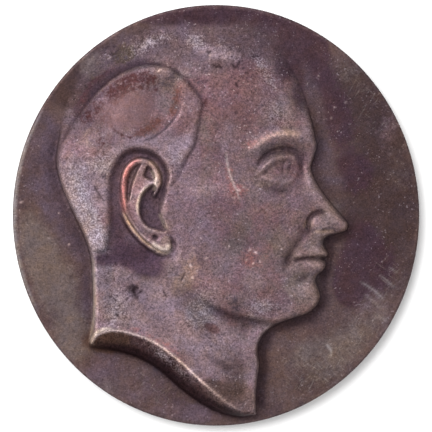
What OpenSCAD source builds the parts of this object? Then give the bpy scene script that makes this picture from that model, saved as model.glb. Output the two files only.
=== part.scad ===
// Commemorative medal: a slightly oval cast disc with a raised bust in profile, one solid bronze casting.
// The relief points to +Z, the top of the head to +Y, the face looks to +X, and the plain back is on Z = 0.
// All places on the head are millimetres from the disc's centre on a medal 100 high, and scale with it.

/* [Disc] */
// Width across the disc, side to side
disc_width = 96.6; // [60:0.1:150]
// Height of the disc, top to bottom
disc_height = 100; // [60:0.1:150]
// Thickness of the disc at its edge
disc_thickness = 4; // [2:0.1:8]
// Radius of the worn edge, front and back
edge_radius = 0.6; // [0.2:0.05:1.5]

/* [Relief] */
// Share of the modelled relief height
relief_share = 1; // [0.5:0.05:1.5]
// Width of the rounded wall round the face
face_wall = 1.7; // [1:0.1:4]
// Width of the rounded wall at the back of the neck
nape_wall = 0.9; // [0.5:0.1:4]
// Width of the soft slope over the crown
crown_slope = 13; // [6:0.5:18]
// Width of the slope at the forehead
forehead_slope = 5; // [3:0.5:12]
// Height of the ridge where the neck is cut off
cut_height = 4.6; // [2:0.1:7]
// Upright step at the foot of the neck cut
cut_step = 1.2; // [0.2:0.1:2]
// Upright foot of the relief on the field
foot = 0.15; // [0.05:0.05:0.5]
// How far the relief is sunk into the disc
sunk = 1; // [0.5:0.1:2]

/* [Hair] */
// Thickness of the hair at its front edge
hair_front = 0.5; // [0.2:0.05:1.5]
// Further thickness of the hair at the back of the head
hair_back = 1.1; // [0.5:0.1:3]
// Further thickness of the hair behind the ear and down to the nape
hair_nape = 0.4; // [0:0.05:1]
// Height of the low step on the side of the hair
hair_flat = 0.28; // [0:0.02:0.6]

/* [Ear] */
// Height of the sunk ground round the ear
ground_height = 4.6; // [3.5:0.1:6]
// Height of the ear's plate over the field
ear_height = 6; // [5:0.1:7]
// Rise of the rim round the ear
helix_rise = 0.45; // [0:0.05:1]
// Height of the floor of the bowl in the ear
concha_height = 4.4; // [3.5:0.1:6]
// Depth of the long hollow inside the rim
scapha_depth = 1.2; // [0.4:0.1:2]
// Depth of the short hollow at the top of the ear
fossa_depth = 1; // [0.4:0.1:2]

/* [Output] */
// Piece to show

/* [Hidden] */
bronze = [0.42, 0.34, 0.31];
scale_up = disc_height/100;
$fn = 180;

// Outline of the head from the back of the neck over the crown and down the face: x, y
PROFILE = [
    [-30.0, -31.3], [-29.2, -26.5], [-29.2, -18.0], [-29.7, -10.0], [-31.5, -4.5], [-34.3, 1.5],
    [-36.8, 7.5], [-37.9, 12.5], [-37.4, 17.5], [-36.4, 24.0], [-34.0, 30.0], [-29.5, 36.0],
    [-22.5, 41.3], [-13.5, 44.8], [-4.0, 46.4], [4.5, 45.6], [11.5, 42.2], [17.0, 36.5], [20.6, 29.8],
    [22.6, 23.0], [23.5, 18.6], [24.0, 16.4], [23.3, 13.8], [22.6, 11.4], [23.4, 8.6], [25.5, 5.2],
    [28.0, 2.0], [30.3, -0.6], [31.4, -2.2], [30.9, -3.6], [29.0, -4.3], [26.9, -4.8], [25.7, -5.7],
    [25.6, -7.0], [26.3, -8.5], [26.6, -9.2], [26.2, -9.9], [25.3, -10.3], [25.9, -10.9], [26.1, -11.8],
    [25.5, -13.0], [24.1, -14.3], [23.7, -15.6], [24.3, -17.4], [24.7, -19.2], [24.0, -21.3],
    [21.8, -23.2], [18.0, -24.5], [13.8, -26.2], [10.9, -28.8], [9.9, -32.0], [10.3, -35.2], [9.9, -38.5],
    [9.5, -43.0], [9.6, -47.4]];

// Foot of the neck cut, from its tip back to the nape: x, y
CUT_LOW = [
    [9.6, -47.4], [5.7, -47.9], [0.9, -46.9], [-3.8, -44.5], [-8.6, -41.0], [-13.3, -36.9], [-17.6, -34.2],
    [-22.8, -32.4], [-30.0, -31.3]];

// Ridge of the neck cut, from its tip back to the nape: x, y
CUT_TOP = [
    [9.8, -46.9], [7.1, -46.6], [4.0, -45.2], [0.9, -42.9], [-3.6, -39.1], [-9.0, -34.1], [-14.5, -30.1],
    [-19.7, -28.0], [-24.7, -27.2], [-27.8, -28.3], [-30.0, -30.6]];

// Edge of the hair, from the nape up the back of the head and down in front of the ear: x, y
HAIR = [
    [-29.6, -8.6], [-31.3, -4.7], [-33.8, 0.6], [-36.4, 6.6], [-37.6, 12.0], [-36.6, 16.9], [-34.4, 21.4],
    [-31.0, 26.4], [-26.6, 31.2], [-20.4, 35.0], [-15.0, 36.0], [-10.6, 34.9], [-6.4, 31.2], [-3.7, 27.9],
    [-3.1, 26.6], [-3.4, 24.8], [-3.9, 22.0], [-4.9, 17.0], [-7.4, 12.4], [-9.2, 8.4], [-11.6, 6.0],
    [-16.0, 2.0], [-21.5, -3.2], [-25.4, -8.0], [-27.4, -8.7]];

// Foot of the low step on the side of the hair: x, y
FLAT = [[-9.4, 31.4], [-8.3, 28.2], [-9.1, 23.8], [-12.4, 20.0], [-17.2, 17.4]];

// Edge of the sunk ground that the ear stands on: x, y
GROUND = [
    [-18.2, 15.9], [-13.9, 14.4], [-11.2, 10.5], [-11.6, 6.0], [-13.0, 0.0], [-11.2, -4.2], [-9.4, -6.6],
    [-9.2, -11.0], [-14.5, -13.6], [-22.3, -12.4], [-26.2, -8.9], [-25.3, -2.3], [-25.6, 4.8],
    [-24.8, 10.6], [-22.0, 14.9]];

// Edge of the ear, from in front of its top round the back to the lobe: x, y
EAR = [
    [-13.6, 5.0], [-12.7, 7.7], [-13.5, 11.0], [-15.7, 13.3], [-18.4, 13.7], [-21.0, 12.3], [-22.5, 9.2],
    [-22.7, 5.2], [-21.9, 1.2], [-20.1, -2.2], [-17.6, -5.5], [-14.4, -7.9], [-12.1, -8.9], [-10.5, -8.1],
    [-10.4, -6.0], [-11.2, -4.0], [-12.4, -0.8], [-13.1, 1.0], [-12.9, 3.2]];

// Middle of the raised rim of the ear: x, y
HELIX = [
    [-13.9, 6.2], [-13.6, 8.6], [-14.6, 11.3], [-16.4, 12.9], [-18.6, 13.0], [-20.8, 11.5], [-21.9, 8.8],
    [-22.0, 5.2], [-21.3, 1.4], [-19.6, -2.1], [-17.1, -5.1], [-14.2, -7.2], [-12.2, -8.0]];

// Edge of the bowl in the ear: x, y
CONCHA = [
    [-14.6, 7.3], [-16.3, 6.5], [-17.6, 4.9], [-18.2, 2.2], [-17.9, -0.4], [-16.4, -2.6], [-13.8, -3.6],
    [-11.7, -3.8], [-12.0, -1.8], [-13.1, 0.6], [-12.9, 3.4], [-13.6, 5.4]];

// Edge of the long hollow inside the rim: x, y
SCAPHA = [
    [-17.6, 12.3], [-19.4, 11.6], [-20.9, 9.4], [-21.3, 6.4], [-21.2, 3.6], [-20.8, 2.4], [-20.3, 4.3],
    [-19.7, 7.2], [-18.5, 10.4]];

// Edge of the short hollow at the top of the ear: x, y
FOSSA = [[-16.1, 11.9], [-14.9, 10.6], [-14.4, 8.7], [-15.2, 8.2], [-17.1, 9.2], [-16.8, 10.6]];

// Heights of the head over the field, blended softly into each other: x, y, height
HEIGHTS = [
    [-8, 41, 3.0], [-25, 34, 2.6], [-33, 26, 2.4], [8, 39, 3.2], [-18, 30, 3.8], [-2, 33, 4.5],
    [9, 30, 5.0], [17, 28, 4.0], [-28, 12, 4.2], [-34, 12, 3.7], [-30, 0, 4.6], [-26, -8, 4.8],
    [-17, 20, 4.9], [-5, 22, 5.8], [-6, 13, 6.1], [2, 22, 5.7], [6, 15, 5.5], [12, 21, 5.0],
    [18, 21, 4.3], [22, 20, 3.6], [12, 12, 4.9], [17, 12, 4.0], [21, 12, 3.0], [8, 5, 6.0], [-2, 5, 6.3],
    [14, 4, 5.1], [19, 3, 4.2], [24, 5, 3.3], [28, -1, 3.0], [23, 9, 3.0], [6, -5, 5.5], [12, -7, 5.0],
    [0, -9, 5.9], [-7, -3, 6.2], [18, -10, 4.0], [24, -10, 3.1], [22, -7, 3.5], [20, -19, 3.9],
    [24, -19, 3.0], [-6, -12, 5.7], [3, -16, 5.6], [12, -17, 4.9], [16, -24, 3.4], [10, -28, 3.3],
    [0, -26, 4.1], [0, -34, 4.3], [-9, -22, 5.0], [-18, -16, 5.2], [-24, -22, 5.0], [-22, -28, 4.9],
    [-12, -31, 4.8], [8, -36, 3.6], [7, -43, 3.9], [-2, -41, 4.3], [6, -48, 4.0]];
blend = 4.6;

// Soft bumps and hollows of the head: amount, x, y, half width, half height, turn, squareness
LUMPS = [
    [-0.60, 5.5, 17.5, 5.0, 6.0, 0, 1], [-0.70, 7.0, -7.0, 5.0, 4.0, -30, 1],
    [0.50, 11.0, 1.5, 5.0, 3.2, -15, 1], [0.50, 7.6, -33.5, 2.6, 3.4, 0, 1],
    [-1.50, 17.2, 12.2, 5.4, 4.0, 0, 1.3], [-1.00, 20.4, 11.0, 1.7, 4.0, 0, 1],
    [1.75, 15.2, 11.0, 4.2, 3.2, 0, 1.7], [-0.45, 17.4, 11.2, 0.6, 1.0, 0, 1.5],
    [1.00, 25.0, -2.2, 2.5, 1.9, 0, 1.4], [0.50, 29.0, -1.7, 2.1, 1.9, 0, 1],
    [-0.50, 17.4, -11.0, 1.1, 1.4, 20, 1], [0.60, 21.0, -18.8, 3.4, 3.0, 0, 1]];

// Soft ridges and furrows of the head: amount, half width, share that thins at each end, places along it
STROKES = [
    [0.70, 3.0, 0.40, [[-7, 3.6], [1, 5.4], [8, 5.6], [14, 3.4]]],
    [0.45, 2.0, 0.35, [[16.0, -22.2], [9.0, -21.2], [2.0, -18.8], [-4.0, -14.8], [-7.4, -10.6]]],
    [1.10, 2.8, 0.40, [[-15, -10], [-11, -20], [-4, -31], [5, -43]]],
    [-0.40, 1.8, 0.40, [[-8, -16], [-3, -26], [6, -38]]],
    [-0.50, 2.4, 0.40, [[-20, -14], [-16, -23], [-10, -31]]],
    [1.20, 1.4, 0.30, [[7.8, 14.2], [11.0, 17.2], [15.6, 18.8], [20.4, 18.2], [23.8, 16.4]]],
    [0.70, 0.50, 0.20, [[9.8, 9.6], [12.2, 12.2], [15.0, 13.7], [17.8, 13.9], [19.2, 12.6]]],
    [-0.75, 0.45, 0.25, [[9.4, 11.6], [12.4, 14.6], [16.4, 15.8], [19.8, 14.8]]],
    [0.45, 0.50, 0.30, [[10.8, 9.0], [13.8, 8.0], [16.8, 7.8], [18.6, 8.8]]],
    [-0.50, 0.80, 0.50, [[10.8, 7.2], [14.6, 5.6], [18.8, 5.8]]],
    [-0.95, 0.50, 0.30, [[22.6, -4.6], [21.8, -2.8], [22.2, -0.6], [24.0, 0.7], [26.6, 0.4]]],
    [-1.40, 0.50, 0.25, [[24.6, -4.0], [26.2, -3.6], [28.4, -3.7]]],
    [0.50, 0.95, 0.30, [[26.4, -8.9], [23.6, -8.8], [20.8, -9.5], [18.6, -10.4]]],
    [0.70, 1.05, 0.35, [[26.0, -11.8], [23.4, -12.1], [20.6, -11.6]]],
    [-1.00, 0.42, 0.15, [[26.8, -10.3], [23.4, -10.1], [21.0, -10.2], [18.2, -10.9]]],
    [-0.70, 1.10, 0.40, [[25.2, -14.9], [21.6, -14.9], [18.6, -15.4]]],
    [-0.60, 0.90, 0.50, [[21.8, -3.6], [19.2, -6.8], [16.9, -10.4], [16.1, -14.0]]],
    [0.30, 1.60, 0.50, [[20.0, -2.4], [16.8, -5.6], [14.2, -9.8]]],
    [-0.35, 0.80, 0.30, [[24.9, -5.8], [24.2, -7.6]]]];

// Steps on the left of their run that die away from it: amount, width, reach, thinning share, places
FOLDS = [
    [-1.6, 1.8, 6.5, 0.35,
        [[26.0, -24.2], [18.0, -24.4], [10.0, -23.8], [3.0, -22.0], [-3.0, -18.4], [-6.0, -14.4]]],
    [0.6, 0.9, 4.0, 0.35, [[-6.4, -29.4], [-3.0, -31.4], [0.9, -34.4], [4.7, -37.2], [7.4, -38.6]]]];

// Low step on the side of the hair, and the small lip in front of the ear's bowl, as rows of the lists above
FLAT_STEP = [hair_flat, 0.8, 2.6, 0.35];
TRAGUS = [0.55, -11.7, 0.6, 1.3, 2.4, 12, 1];

// Edge of the eye between the lids: x, y
EYE = [
    [10.9, 9.9], [12.9, 11.8], [15.2, 13.0], [17.5, 13.2], [18.7, 12.0], [18.7, 10.2], [17.5, 8.8],
    [14.2, 8.8]];
eye_inset = 0.5;

// The relief is a web: rays run from the middle of the ear to the outline, and rings cross them
web_centre = [-15.6, 2.5];
rim_spacing = 1.7;
// Width of the steep sides of the ear and its bowl, and of the slope at the edge of the sunk ground
side_step = 0.5;
ground_slope = 1.3;
// Rings as shares of each stretch of a ray, from the bowl out to the wall
bowl_rings = [0.5, 1];
plate_rings = [0.25, 0.5, 0.75, 1];
ground_rings = [0.5, 1];
head_rings = [
    0.05, 0.12, 0.2, 0.28, 0.36, 0.43, 0.5, 0.56, 0.61, 0.655, 0.695, 0.73, 0.765, 0.795, 0.825, 0.855,
    0.885, 0.915, 0.945, 0.975, 1];
// On the neck cut the last ring but one stands this far inside the outline, at the top of the upright step
foot_ring = 0.85;
foot_run = 0.5;
wall_rings = [0.3, 0.6, foot_ring, 1];

function limit(v) = max(0, min(1, v));
function ease(a, b, v) = let (t = limit((v-a)/(b-a))) t*t*(3-2*t);
function sum(v) = v*[for (i = v) 1];
function far_box(line, m) = [
    min([for (q = line) q.x])-m, min([for (q = line) q.y])-m,
    max([for (q = line) q.x])+m, max([for (q = line) q.y])+m];
function in_box(p, b) = p.x > b[0] && p.y > b[1] && p.x < b[2] && p.y < b[3];

// Smooth curve through the places, as evenly rounded as they allow
function bend(a, b, c, d, f) = let (
    t1 = sqrt(norm(b-a)), t2 = t1+sqrt(norm(c-b)), t3 = t2+sqrt(norm(d-c)), t = t1+(t2-t1)*f,
    one = (t1-t)/t1*a+t/t1*b, two = (t2-t)/(t2-t1)*b+(t-t1)/(t2-t1)*c,
    three = (t3-t)/(t3-t2)*c+(t-t2)/(t3-t2)*d,
    left = (t2-t)/t2*one+t/t2*two, right = (t3-t)/(t3-t1)*two+(t-t1)/(t3-t1)*three)
    (t2-t)/(t2-t1)*left+(t-t1)/(t2-t1)*right;
function curve(p, step) = let (n = len(p)) [
    for (i = [0:n-2])
        let (b = p[i], c = p[i+1], a = i > 0 ? p[i-1] : 2*b-c, d = i < n-2 ? p[i+2] : 2*c-b,
            count = max(1, round(norm(c-b)/step)))
        for (k = [0:count-1]) bend(a, b, c, d, k/count),
    p[n-1]];
function ring(p, count) = let (n = len(p)) [
    for (i = [0:n-1], k = [0:count-1]) bend(p[(i+n-1) % n], p[i], p[(i+1) % n], p[(i+2) % n], k/count),
    p[0]];

// Distance to a line, side of it (left is positive) and share of its run there
function near(p, line) = let (
    n = len(line)-1,
    all = [for (i = [0:n-1]) let (a = line[i], u = line[i+1]-a, w = p-a, t = limit((w*u)/(u*u)), q = w-t*u)
        [norm(q), u.x*q.y-u.y*q.x, (i+t)/n]],
    best = min([for (e = all) e[0]]))
    [for (e = all) if (e[0] == best) e][0];
function crossings(p, loop) = len([for (i = [0:len(loop)-2]) let (a = loop[i], b = loop[i+1])
    if ((a.y > p.y) != (b.y > p.y) && p.x < (b.x-a.x)*(p.y-a.y)/(b.y-a.y)+a.x) 1]);
function depth(p, loop) = near(p, loop)[0]*(crossings(p, loop) % 2 == 1 ? 1 : -1);
// How far a ray from a place reaches a line, 0 if it misses it
function reach(c, u, line) = max([0, for (i = [0:len(line)-2])
    let (a = line[i]-c, e = line[i+1]-line[i], k = u.x*e.y-u.y*e.x,
        s = (a.x*e.y-a.y*e.x)/k, f = (a.x*u.y-a.y*u.x)/k)
    if (abs(k) > 1e-9 && f >= 0 && f <= 1 && s > 0) s]);

function lump(p, r) = let (
    x = p.x-r[1], y = p.y-r[2], c = cos(r[5]), s = sin(r[5]),
    u = (x*c+y*s)/r[3], v = (y*c-x*s)/r[4], q = u*u+v*v)
    q > 9 ? 0 : r[0]*exp(-pow(q, r[6]));
function stroke(p, r, line) = let (e = near(p, line), s = limit(min(e[2], 1-e[2])/r[2]))
    r[0]*exp(-pow(e[0]/r[1], 2))*s*(2-s);
function fold(p, r, line) = let (e = near(p, line), s = ease(0, r[3], min(e[2], 1-e[2])))
    e[1] > 0 ? r[0]*ease(0, r[1], e[0])*exp(-pow(e[0]/r[2], 2))*s : 0;

out_line = curve(PROFILE, rim_spacing);
low_line = curve(CUT_LOW, rim_spacing);
rim = concat(out_line, [for (i = [1:len(low_line)-2]) low_line[i]]);
rim_loop = concat(rim, [rim[0]]);
ridge_line = curve(CUT_TOP, 2);
hair_loop = ring(HAIR, 3);
hair_box = far_box(hair_loop, 1);
ear_loop = ring(EAR, 3);
ear_box = far_box(ear_loop, 1);
ground_loop = ring(GROUND, 3);
ground_box = far_box(ground_loop, 1);
concha_loop = ring(CONCHA, 3);
scapha_loop = ring(SCAPHA, 3);
fossa_loop = ring(FOSSA, 3);
helix_line = curve(HELIX, 1);
flat_line = curve(FLAT, 1.5);
flat_box = far_box(flat_line, 6);
eye_loop = ring(EYE, 3);
eye_box = far_box(eye_loop, 1);
stroke_lines = [for (r = STROKES) curve(r[3], 1.5)];
stroke_boxes = [for (i = [0:len(STROKES)-1]) far_box(stroke_lines[i], 2.6*STROKES[i][1])];
fold_lines = [for (r = FOLDS) curve(r[4], 1.5)];
fold_boxes = [for (i = [0:len(FOLDS)-1]) far_box(fold_lines[i], 2.6*FOLDS[i][2])];

function mass(p) = let (
    w = [for (h = HEIGHTS) exp(-(pow(p.x-h[0], 2)+pow(p.y-h[1], 2))/(2*blend*blend))+1e-12])
    (w*[for (h = HEIGHTS) h[2]])/sum(w);
function hair(p) = !in_box(p, hair_box) ? 0 :
    (hair_front+hair_back*ease(-4, -22, p.x)*ease(2, 16, p.y)+hair_nape*ease(-8, -20, p.x))
    *ease(-0.1, 0.75, depth(p, hair_loop))
    +(in_box(p, flat_box) ? fold(p, FLAT_STEP, flat_line) : 0);
function eye(p) = in_box(p, eye_box) ? eye_inset*ease(-0.2, 0.45, depth(p, eye_loop)) : 0;
function features(p) = sum([0, -eye(p),
    for (r = LUMPS) lump(p, r),
    for (i = [0:len(STROKES)-1]) if (in_box(p, stroke_boxes[i])) stroke(p, STROKES[i], stroke_lines[i]),
    for (i = [0:len(FOLDS)-1]) if (in_box(p, fold_boxes[i])) fold(p, FOLDS[i], fold_lines[i])]);
// The ear is a flat plate with a raised rim, a step round the bowl and three hollows
function ear(p) = let (
    bowl = depth(p, concha_loop),
    lip = 0.5*exp(-pow(max(0, -bowl), 2))*ease(-12.6, -14.6, p.x),
    top = ear_height+helix_rise*ease(0.98, 0.62, near(p, helix_line)[0])+lip,
    plate = max(
        ease(-0.05, 0.45, depth(p, scapha_loop))*scapha_depth,
        ease(-0.05, 0.45, depth(p, fossa_loop))*fossa_depth))
    bowl > side_step ? concha_height : top-plate-(top-plate-concha_height)*ease(-0.05, side_step, bowl);
function ground(p, z) = !in_box(p, ground_box) ? z :
    z+(ground_height-z)*ease(-0.6, ground_slope+3*ease(-6, -11, p.y), depth(p, ground_loop));
function head(p) = let (
    rise = in_box(p, ear_box) ? ease(-0.05, side_step, depth(p, ear_loop)) : 0,
    tragus = lump(p, TRAGUS))
    rise == 1 ? ear(p) : let (z = ground(p, mass(p)+features(p)+hair(p))+tragus)
    rise > 0 ? z*(1-rise)+ear(p)*rise : z;
// The wall is crisp round the face and the nape, sloping at the forehead and soft over the crown
function softness(p) = max(
    ease(20, 36, p.y), ease(18.5, 27, p.y)*ease(0, 8, p.x), ease(13.5, 22.5, p.y)*ease(-14, -24, p.x));
function wall_width(p) = nape_wall+(face_wall-nape_wall)*ease(8, 20, p.x);
function wall(p) = let (
    d = near(p, rim_loop)[0], t = limit(d/wall_width(p)), soft = softness(p),
    slope = forehead_slope+(crown_slope-forehead_slope)*ease(26, 6, p.x))
    sqrt(1-(1-t)*(1-t))*(1-soft)+pow(ease(0, slope, d), 0.75)*soft;
function height(p) = foot+max(0, head(p)*wall(p)-foot)*relief_share;
function cut(share) = foot+(cut_step-foot+(cut_height-cut_step)*pow(share, 0.8))*relief_share;

// Each ray: its way, the far edges of the bowl, the ear and its ground, the top of the wall, the outline,
// and whether it ends on the neck cut
rays = [for (q = rim) let (
    full = norm(q-web_centre), u = (q-web_centre)/full, ridge = reach(web_centre, u, ridge_line),
    bowl = reach(web_centre, u, concha_loop),
    plate = max(bowl+side_step+0.4, reach(web_centre, u, ear_loop)),
    sunk_edge = max(plate+0.5, reach(web_centre, u, ground_loop)), is_cut = ridge > 0 && ridge < full-0.4)
    [u, bowl, plate, sunk_edge, is_cut ? ridge : full-wall_width(q)-0.3, full, is_cut]];
count = len(rays);
function stops(r) = let (
    inner = r[2]-side_step, flat = max(r[2]+0.2, r[3]-ground_slope), out = r[3]+0.6) concat(
    [for (f = bowl_rings) (r[1]-side_step)*f], [r[1]],
    [for (f = plate_rings) r[1]+(inner-r[1])*f], [r[2]],
    [for (f = ground_rings) r[2]+(flat-r[2])*f],
    [out],
    [for (f = head_rings) out+(r[4]-out)*f]);
function last_stops(r) = [for (f = wall_rings)
    r[4]+(r[5]-r[4])*(f == foot_ring && r[6] ? 1-foot_run/(r[5]-r[4]) : f)];
function place(r, k, z) = let (p = web_centre+r[0]*k) [p.x, p.y, z < 0 ? height(p) : z];
web_stops = [for (r = rays) concat(stops(r), last_stops(r))];
levels = len(web_stops[0]);
ridge_level = levels-len(wall_rings)-1;
function level_height(r, j, k) = j == levels-1 ? foot :
    !r[6] || j < ridge_level ? -1 : cut((r[5]-k)/(r[5]-r[4]));
function web_rings() = [for (j = [0:levels-1]) [for (i = [0:count-1])
    let (k = web_stops[i][j]) place(rays[i], k, level_height(rays[i], j, k))]];

module bust() {
    web = web_rings();
    points = concat(
        [[web_centre.x, web_centre.y, height(web_centre)]],
        [for (level = web, p = level) p],
        [for (q = rim) [q.x, q.y, -sunk]]);
    faces = concat(
        [for (i = [0:count-1]) [0, 1+i, 1+(i+1) % count]],
        [for (j = [0:levels-1], i = [0:count-1])
            let (a = 1+j*count+i, b = 1+j*count+(i+1) % count, c = b+count, d = a+count)
            each abs(points[a].z-points[c].z) < abs(points[b].z-points[d].z)
                ? [[a, d, c], [a, c, b]]
                : [[a, d, b], [d, c, b]]],
        [[for (i = [count-1:-1:0]) 1+levels*count+i]]);
    polyhedron(points = points, faces = faces, convexity = 8);
}

// A quarter of the oval, turned round its own centre
module quarter(radius, centre, start) {
    e = edge_radius;
    translate([centre.x, centre.y, 0])
        rotate_extrude(angle = 90, start = start)
            difference() {
                square([radius, disc_thickness]);
                for (y = [0, disc_thickness-e])
                    translate([radius-e, y])
                        difference() {
                            square(e);
                            translate([0, y == 0 ? e : 0]) circle(e, $fn = 48);
                        }
            }
}

// The oval is drawn with four centres, so its edge is made of true arcs
module disc() {
    shift = (disc_height-disc_width)/2*(1+1/sqrt(2));
    quarter(disc_width/2+shift, [-shift, 0], -45);
    quarter(disc_width/2+shift, [shift, 0], 135);
    quarter(disc_height/2-shift, [0, shift], 45);
    quarter(disc_height/2-shift, [0, -shift], 225);
}

module medal() {
    color(bronze)
        union() {
            disc();
            translate([0, 0, disc_thickness])
                scale(scale_up)
                    bust();
        }
}

medal();
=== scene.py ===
"""Commemorative medal in cast bronze: an oval disc with a raised bust in profile, on a pale table."""
import math
import bmesh
import bpy
import numpy as np
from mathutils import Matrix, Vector


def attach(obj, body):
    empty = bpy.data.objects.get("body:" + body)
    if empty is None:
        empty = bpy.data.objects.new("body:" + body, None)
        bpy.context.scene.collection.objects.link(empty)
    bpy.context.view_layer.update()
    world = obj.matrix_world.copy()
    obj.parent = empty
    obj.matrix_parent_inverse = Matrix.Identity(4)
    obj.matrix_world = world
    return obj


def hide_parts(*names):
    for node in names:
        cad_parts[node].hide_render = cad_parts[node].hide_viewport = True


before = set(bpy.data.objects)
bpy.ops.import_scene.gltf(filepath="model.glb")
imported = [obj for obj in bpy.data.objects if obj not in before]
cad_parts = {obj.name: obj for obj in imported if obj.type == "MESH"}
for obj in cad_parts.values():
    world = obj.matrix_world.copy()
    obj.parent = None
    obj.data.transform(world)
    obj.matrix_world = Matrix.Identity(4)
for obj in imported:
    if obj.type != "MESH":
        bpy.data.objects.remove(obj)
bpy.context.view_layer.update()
MM = 0.001

# Sizes of the casting in millimetres, with heights over the field, the disc's flat face
HALF_WIDTH = 48.3
HALF_HEIGHT = 50.0
THICKNESS = 4.0
EDGE_RADIUS = 0.6
FLAT_WIDTH = HALF_WIDTH-EDGE_RADIUS
FLAT_HEIGHT = HALF_HEIGHT-EDGE_RADIUS
NAPE_WALL = 0.9
FACE_WALL = 1.7
CROWN_SLOPE = 13.0
FOREHEAD_SLOPE = 5.0
CUT_HEIGHT = 4.6
CUT_STEP = 1.2
TROUGH_DEPTH = 0.45
EYE_DEPTH = 0.50
GROUND_HEIGHT = 4.6
EAR_HEIGHT = 6.0
RIM_RISE = 0.45
CONCHA_HEIGHT = 4.4
SCAPHA_DEPTH = 1.2
FOSSA_DEPTH = 1.0
CRACK_DEPTH = 0.10
# Thickness of the hair at its front, and what its back and upper back add to that
HAIR_FRONT = 0.50
HAIR_BACK = 0.4
HAIR_UPPER_BACK = 1.1
HAIR_GROOVE = 0.22

# Random relief of the surface: seed, grain size, depth
WAVES = (3, 6.0, 0.07)
RIPPLE = (4, 2.4, 0.035)
SKIN = (5, 0.7, 0.010)
BEVEL_SKIN = (6, 0.55, 0.08)
PIT_SEED = 11
PIT_COUNT = 260

# The relief is worked out on a fine chart of heights, then laid on the mesh
CELL = 0.125
CHART_X = np.arange(-49.0, 49.01, CELL)
CHART_Y = np.arange(-51.0, 51.01, CELL)
X, Y = np.meshgrid(CHART_X, CHART_Y)
MASS_REACH = 4.6
MESH_CELLS = 286

# Outline of the head from the back of the neck over the crown and down the face
PROFILE = [
    (-30, -31.3), (-29.2, -26.5), (-29.2, -18), (-29.7, -10), (-31.5, -4.5), (-34.3, 1.5), (-36.8, 7.5),
    (-37.9, 12.5), (-37.4, 17.5), (-36.4, 24), (-34, 30), (-29.5, 36), (-22.5, 41.3), (-13.5, 44.8),
    (-4, 46.4), (4.5, 45.6), (11.5, 42.2), (17, 36.5), (20.6, 29.8), (22.6, 23), (23.5, 18.6), (24, 16.4),
    (23.3, 13.8), (22.6, 11.4), (23.4, 8.6), (25.5, 5.2), (28, 2), (30.3, -0.6), (31.4, -2.2), (30.9, -3.6),
    (29, -4.3), (26.9, -4.8), (25.7, -5.7), (25.6, -7), (26.3, -8.5), (26.6, -9.2), (26.2, -9.9),
    (25.3, -10.3), (25.9, -10.9), (26.1, -11.8), (25.5, -13), (24.1, -14.3), (23.7, -15.6), (24.3, -17.4),
    (24.7, -19.2), (24, -21.3), (21.8, -23.2), (18, -24.5), (13.8, -26.2), (10.9, -28.8), (9.9, -32),
    (10.3, -35.2), (9.9, -38.5), (9.5, -43), (9.6, -47.4)]
# Lower and upper line of the bevel that cuts the neck off
CUT_LOW = [
    (9.6, -47.4), (5.7, -47.9), (0.9, -46.9), (-3.8, -44.5), (-8.6, -41), (-13.3, -36.9), (-17.6, -34.2),
    (-22.8, -32.4), (-30, -31.3)]
CUT_TOP = [
    (9.8, -46.9), (7.1, -46.6), (4, -45.2), (0.9, -42.9), (-3.6, -39.1), (-9, -34.1), (-14.5, -30.1),
    (-19.7, -28), (-24.7, -27.2), (-27.8, -28.3), (-30, -30.6)]
# Outline of the hair
HAIR = [
    (-29.6, -8.6), (-31.3, -4.7), (-33.8, 0.6), (-36.4, 6.6), (-37.6, 12), (-36.6, 16.9), (-34.4, 21.4),
    (-31, 26.4), (-26.6, 31.2), (-20.4, 35), (-15, 36), (-10.6, 34.9), (-6.4, 31.2), (-3.7, 27.9),
    (-3.1, 26.6), (-3.4, 24.8), (-3.9, 22), (-4.9, 17), (-7.4, 12.4), (-9.2, 8.4), (-11.6, 6), (-16, 2),
    (-21.5, -3.2), (-25.4, -8), (-27.4, -8.7)]
# Sunk ground that the ear stands on
GROUND = [
    (-18.2, 15.9), (-13.9, 14.4), (-11.2, 10.5), (-11.6, 6), (-13, 0), (-11.2, -4.2), (-9.4, -6.6),
    (-9.2, -11), (-14.5, -13.6), (-22.3, -12.4), (-26.2, -8.9), (-25.3, -2.3), (-25.6, 4.8), (-24.8, 10.6),
    (-22, 14.9)]
# Outline of the ear, the line of its rim, its bowl, and its long and its short hollow
EAR = [
    (-13.6, 5), (-12.7, 7.7), (-13.5, 11), (-15.7, 13.3), (-18.4, 13.7), (-21, 12.3), (-22.5, 9.2),
    (-22.7, 5.2), (-21.9, 1.2), (-20.1, -2.2), (-17.6, -5.5), (-14.4, -7.9), (-12.1, -8.9), (-10.5, -8.1),
    (-10.4, -6), (-11.2, -4), (-12.4, -0.8), (-13.1, 1), (-12.9, 3.2)]
HELIX = [
    (-13.9, 6.2), (-13.6, 8.6), (-14.6, 11.3), (-16.4, 12.9), (-18.6, 13), (-20.8, 11.5), (-21.9, 8.8),
    (-22, 5.2), (-21.3, 1.4), (-19.6, -2.1), (-17.1, -5.1), (-14.2, -7.2), (-12.2, -8)]
CONCHA = [
    (-14.6, 7.3), (-16.3, 6.5), (-17.6, 4.9), (-18.2, 2.2), (-17.9, -0.4), (-16.4, -2.6), (-13.8, -3.6),
    (-11.7, -3.8), (-12, -1.8), (-13.1, 0.6), (-12.9, 3.4), (-13.6, 5.4)]
SCAPHA = [
    (-17.6, 12.3), (-19.4, 11.6), (-20.9, 9.4), (-21.3, 6.4), (-21.2, 3.6), (-20.8, 2.4), (-20.3, 4.3),
    (-19.7, 7.2), (-18.5, 10.4)]
FOSSA = [(-16.1, 11.9), (-14.9, 10.6), (-14.4, 8.7), (-15.2, 8.2), (-17.1, 9.2), (-16.8, 10.6)]
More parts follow.
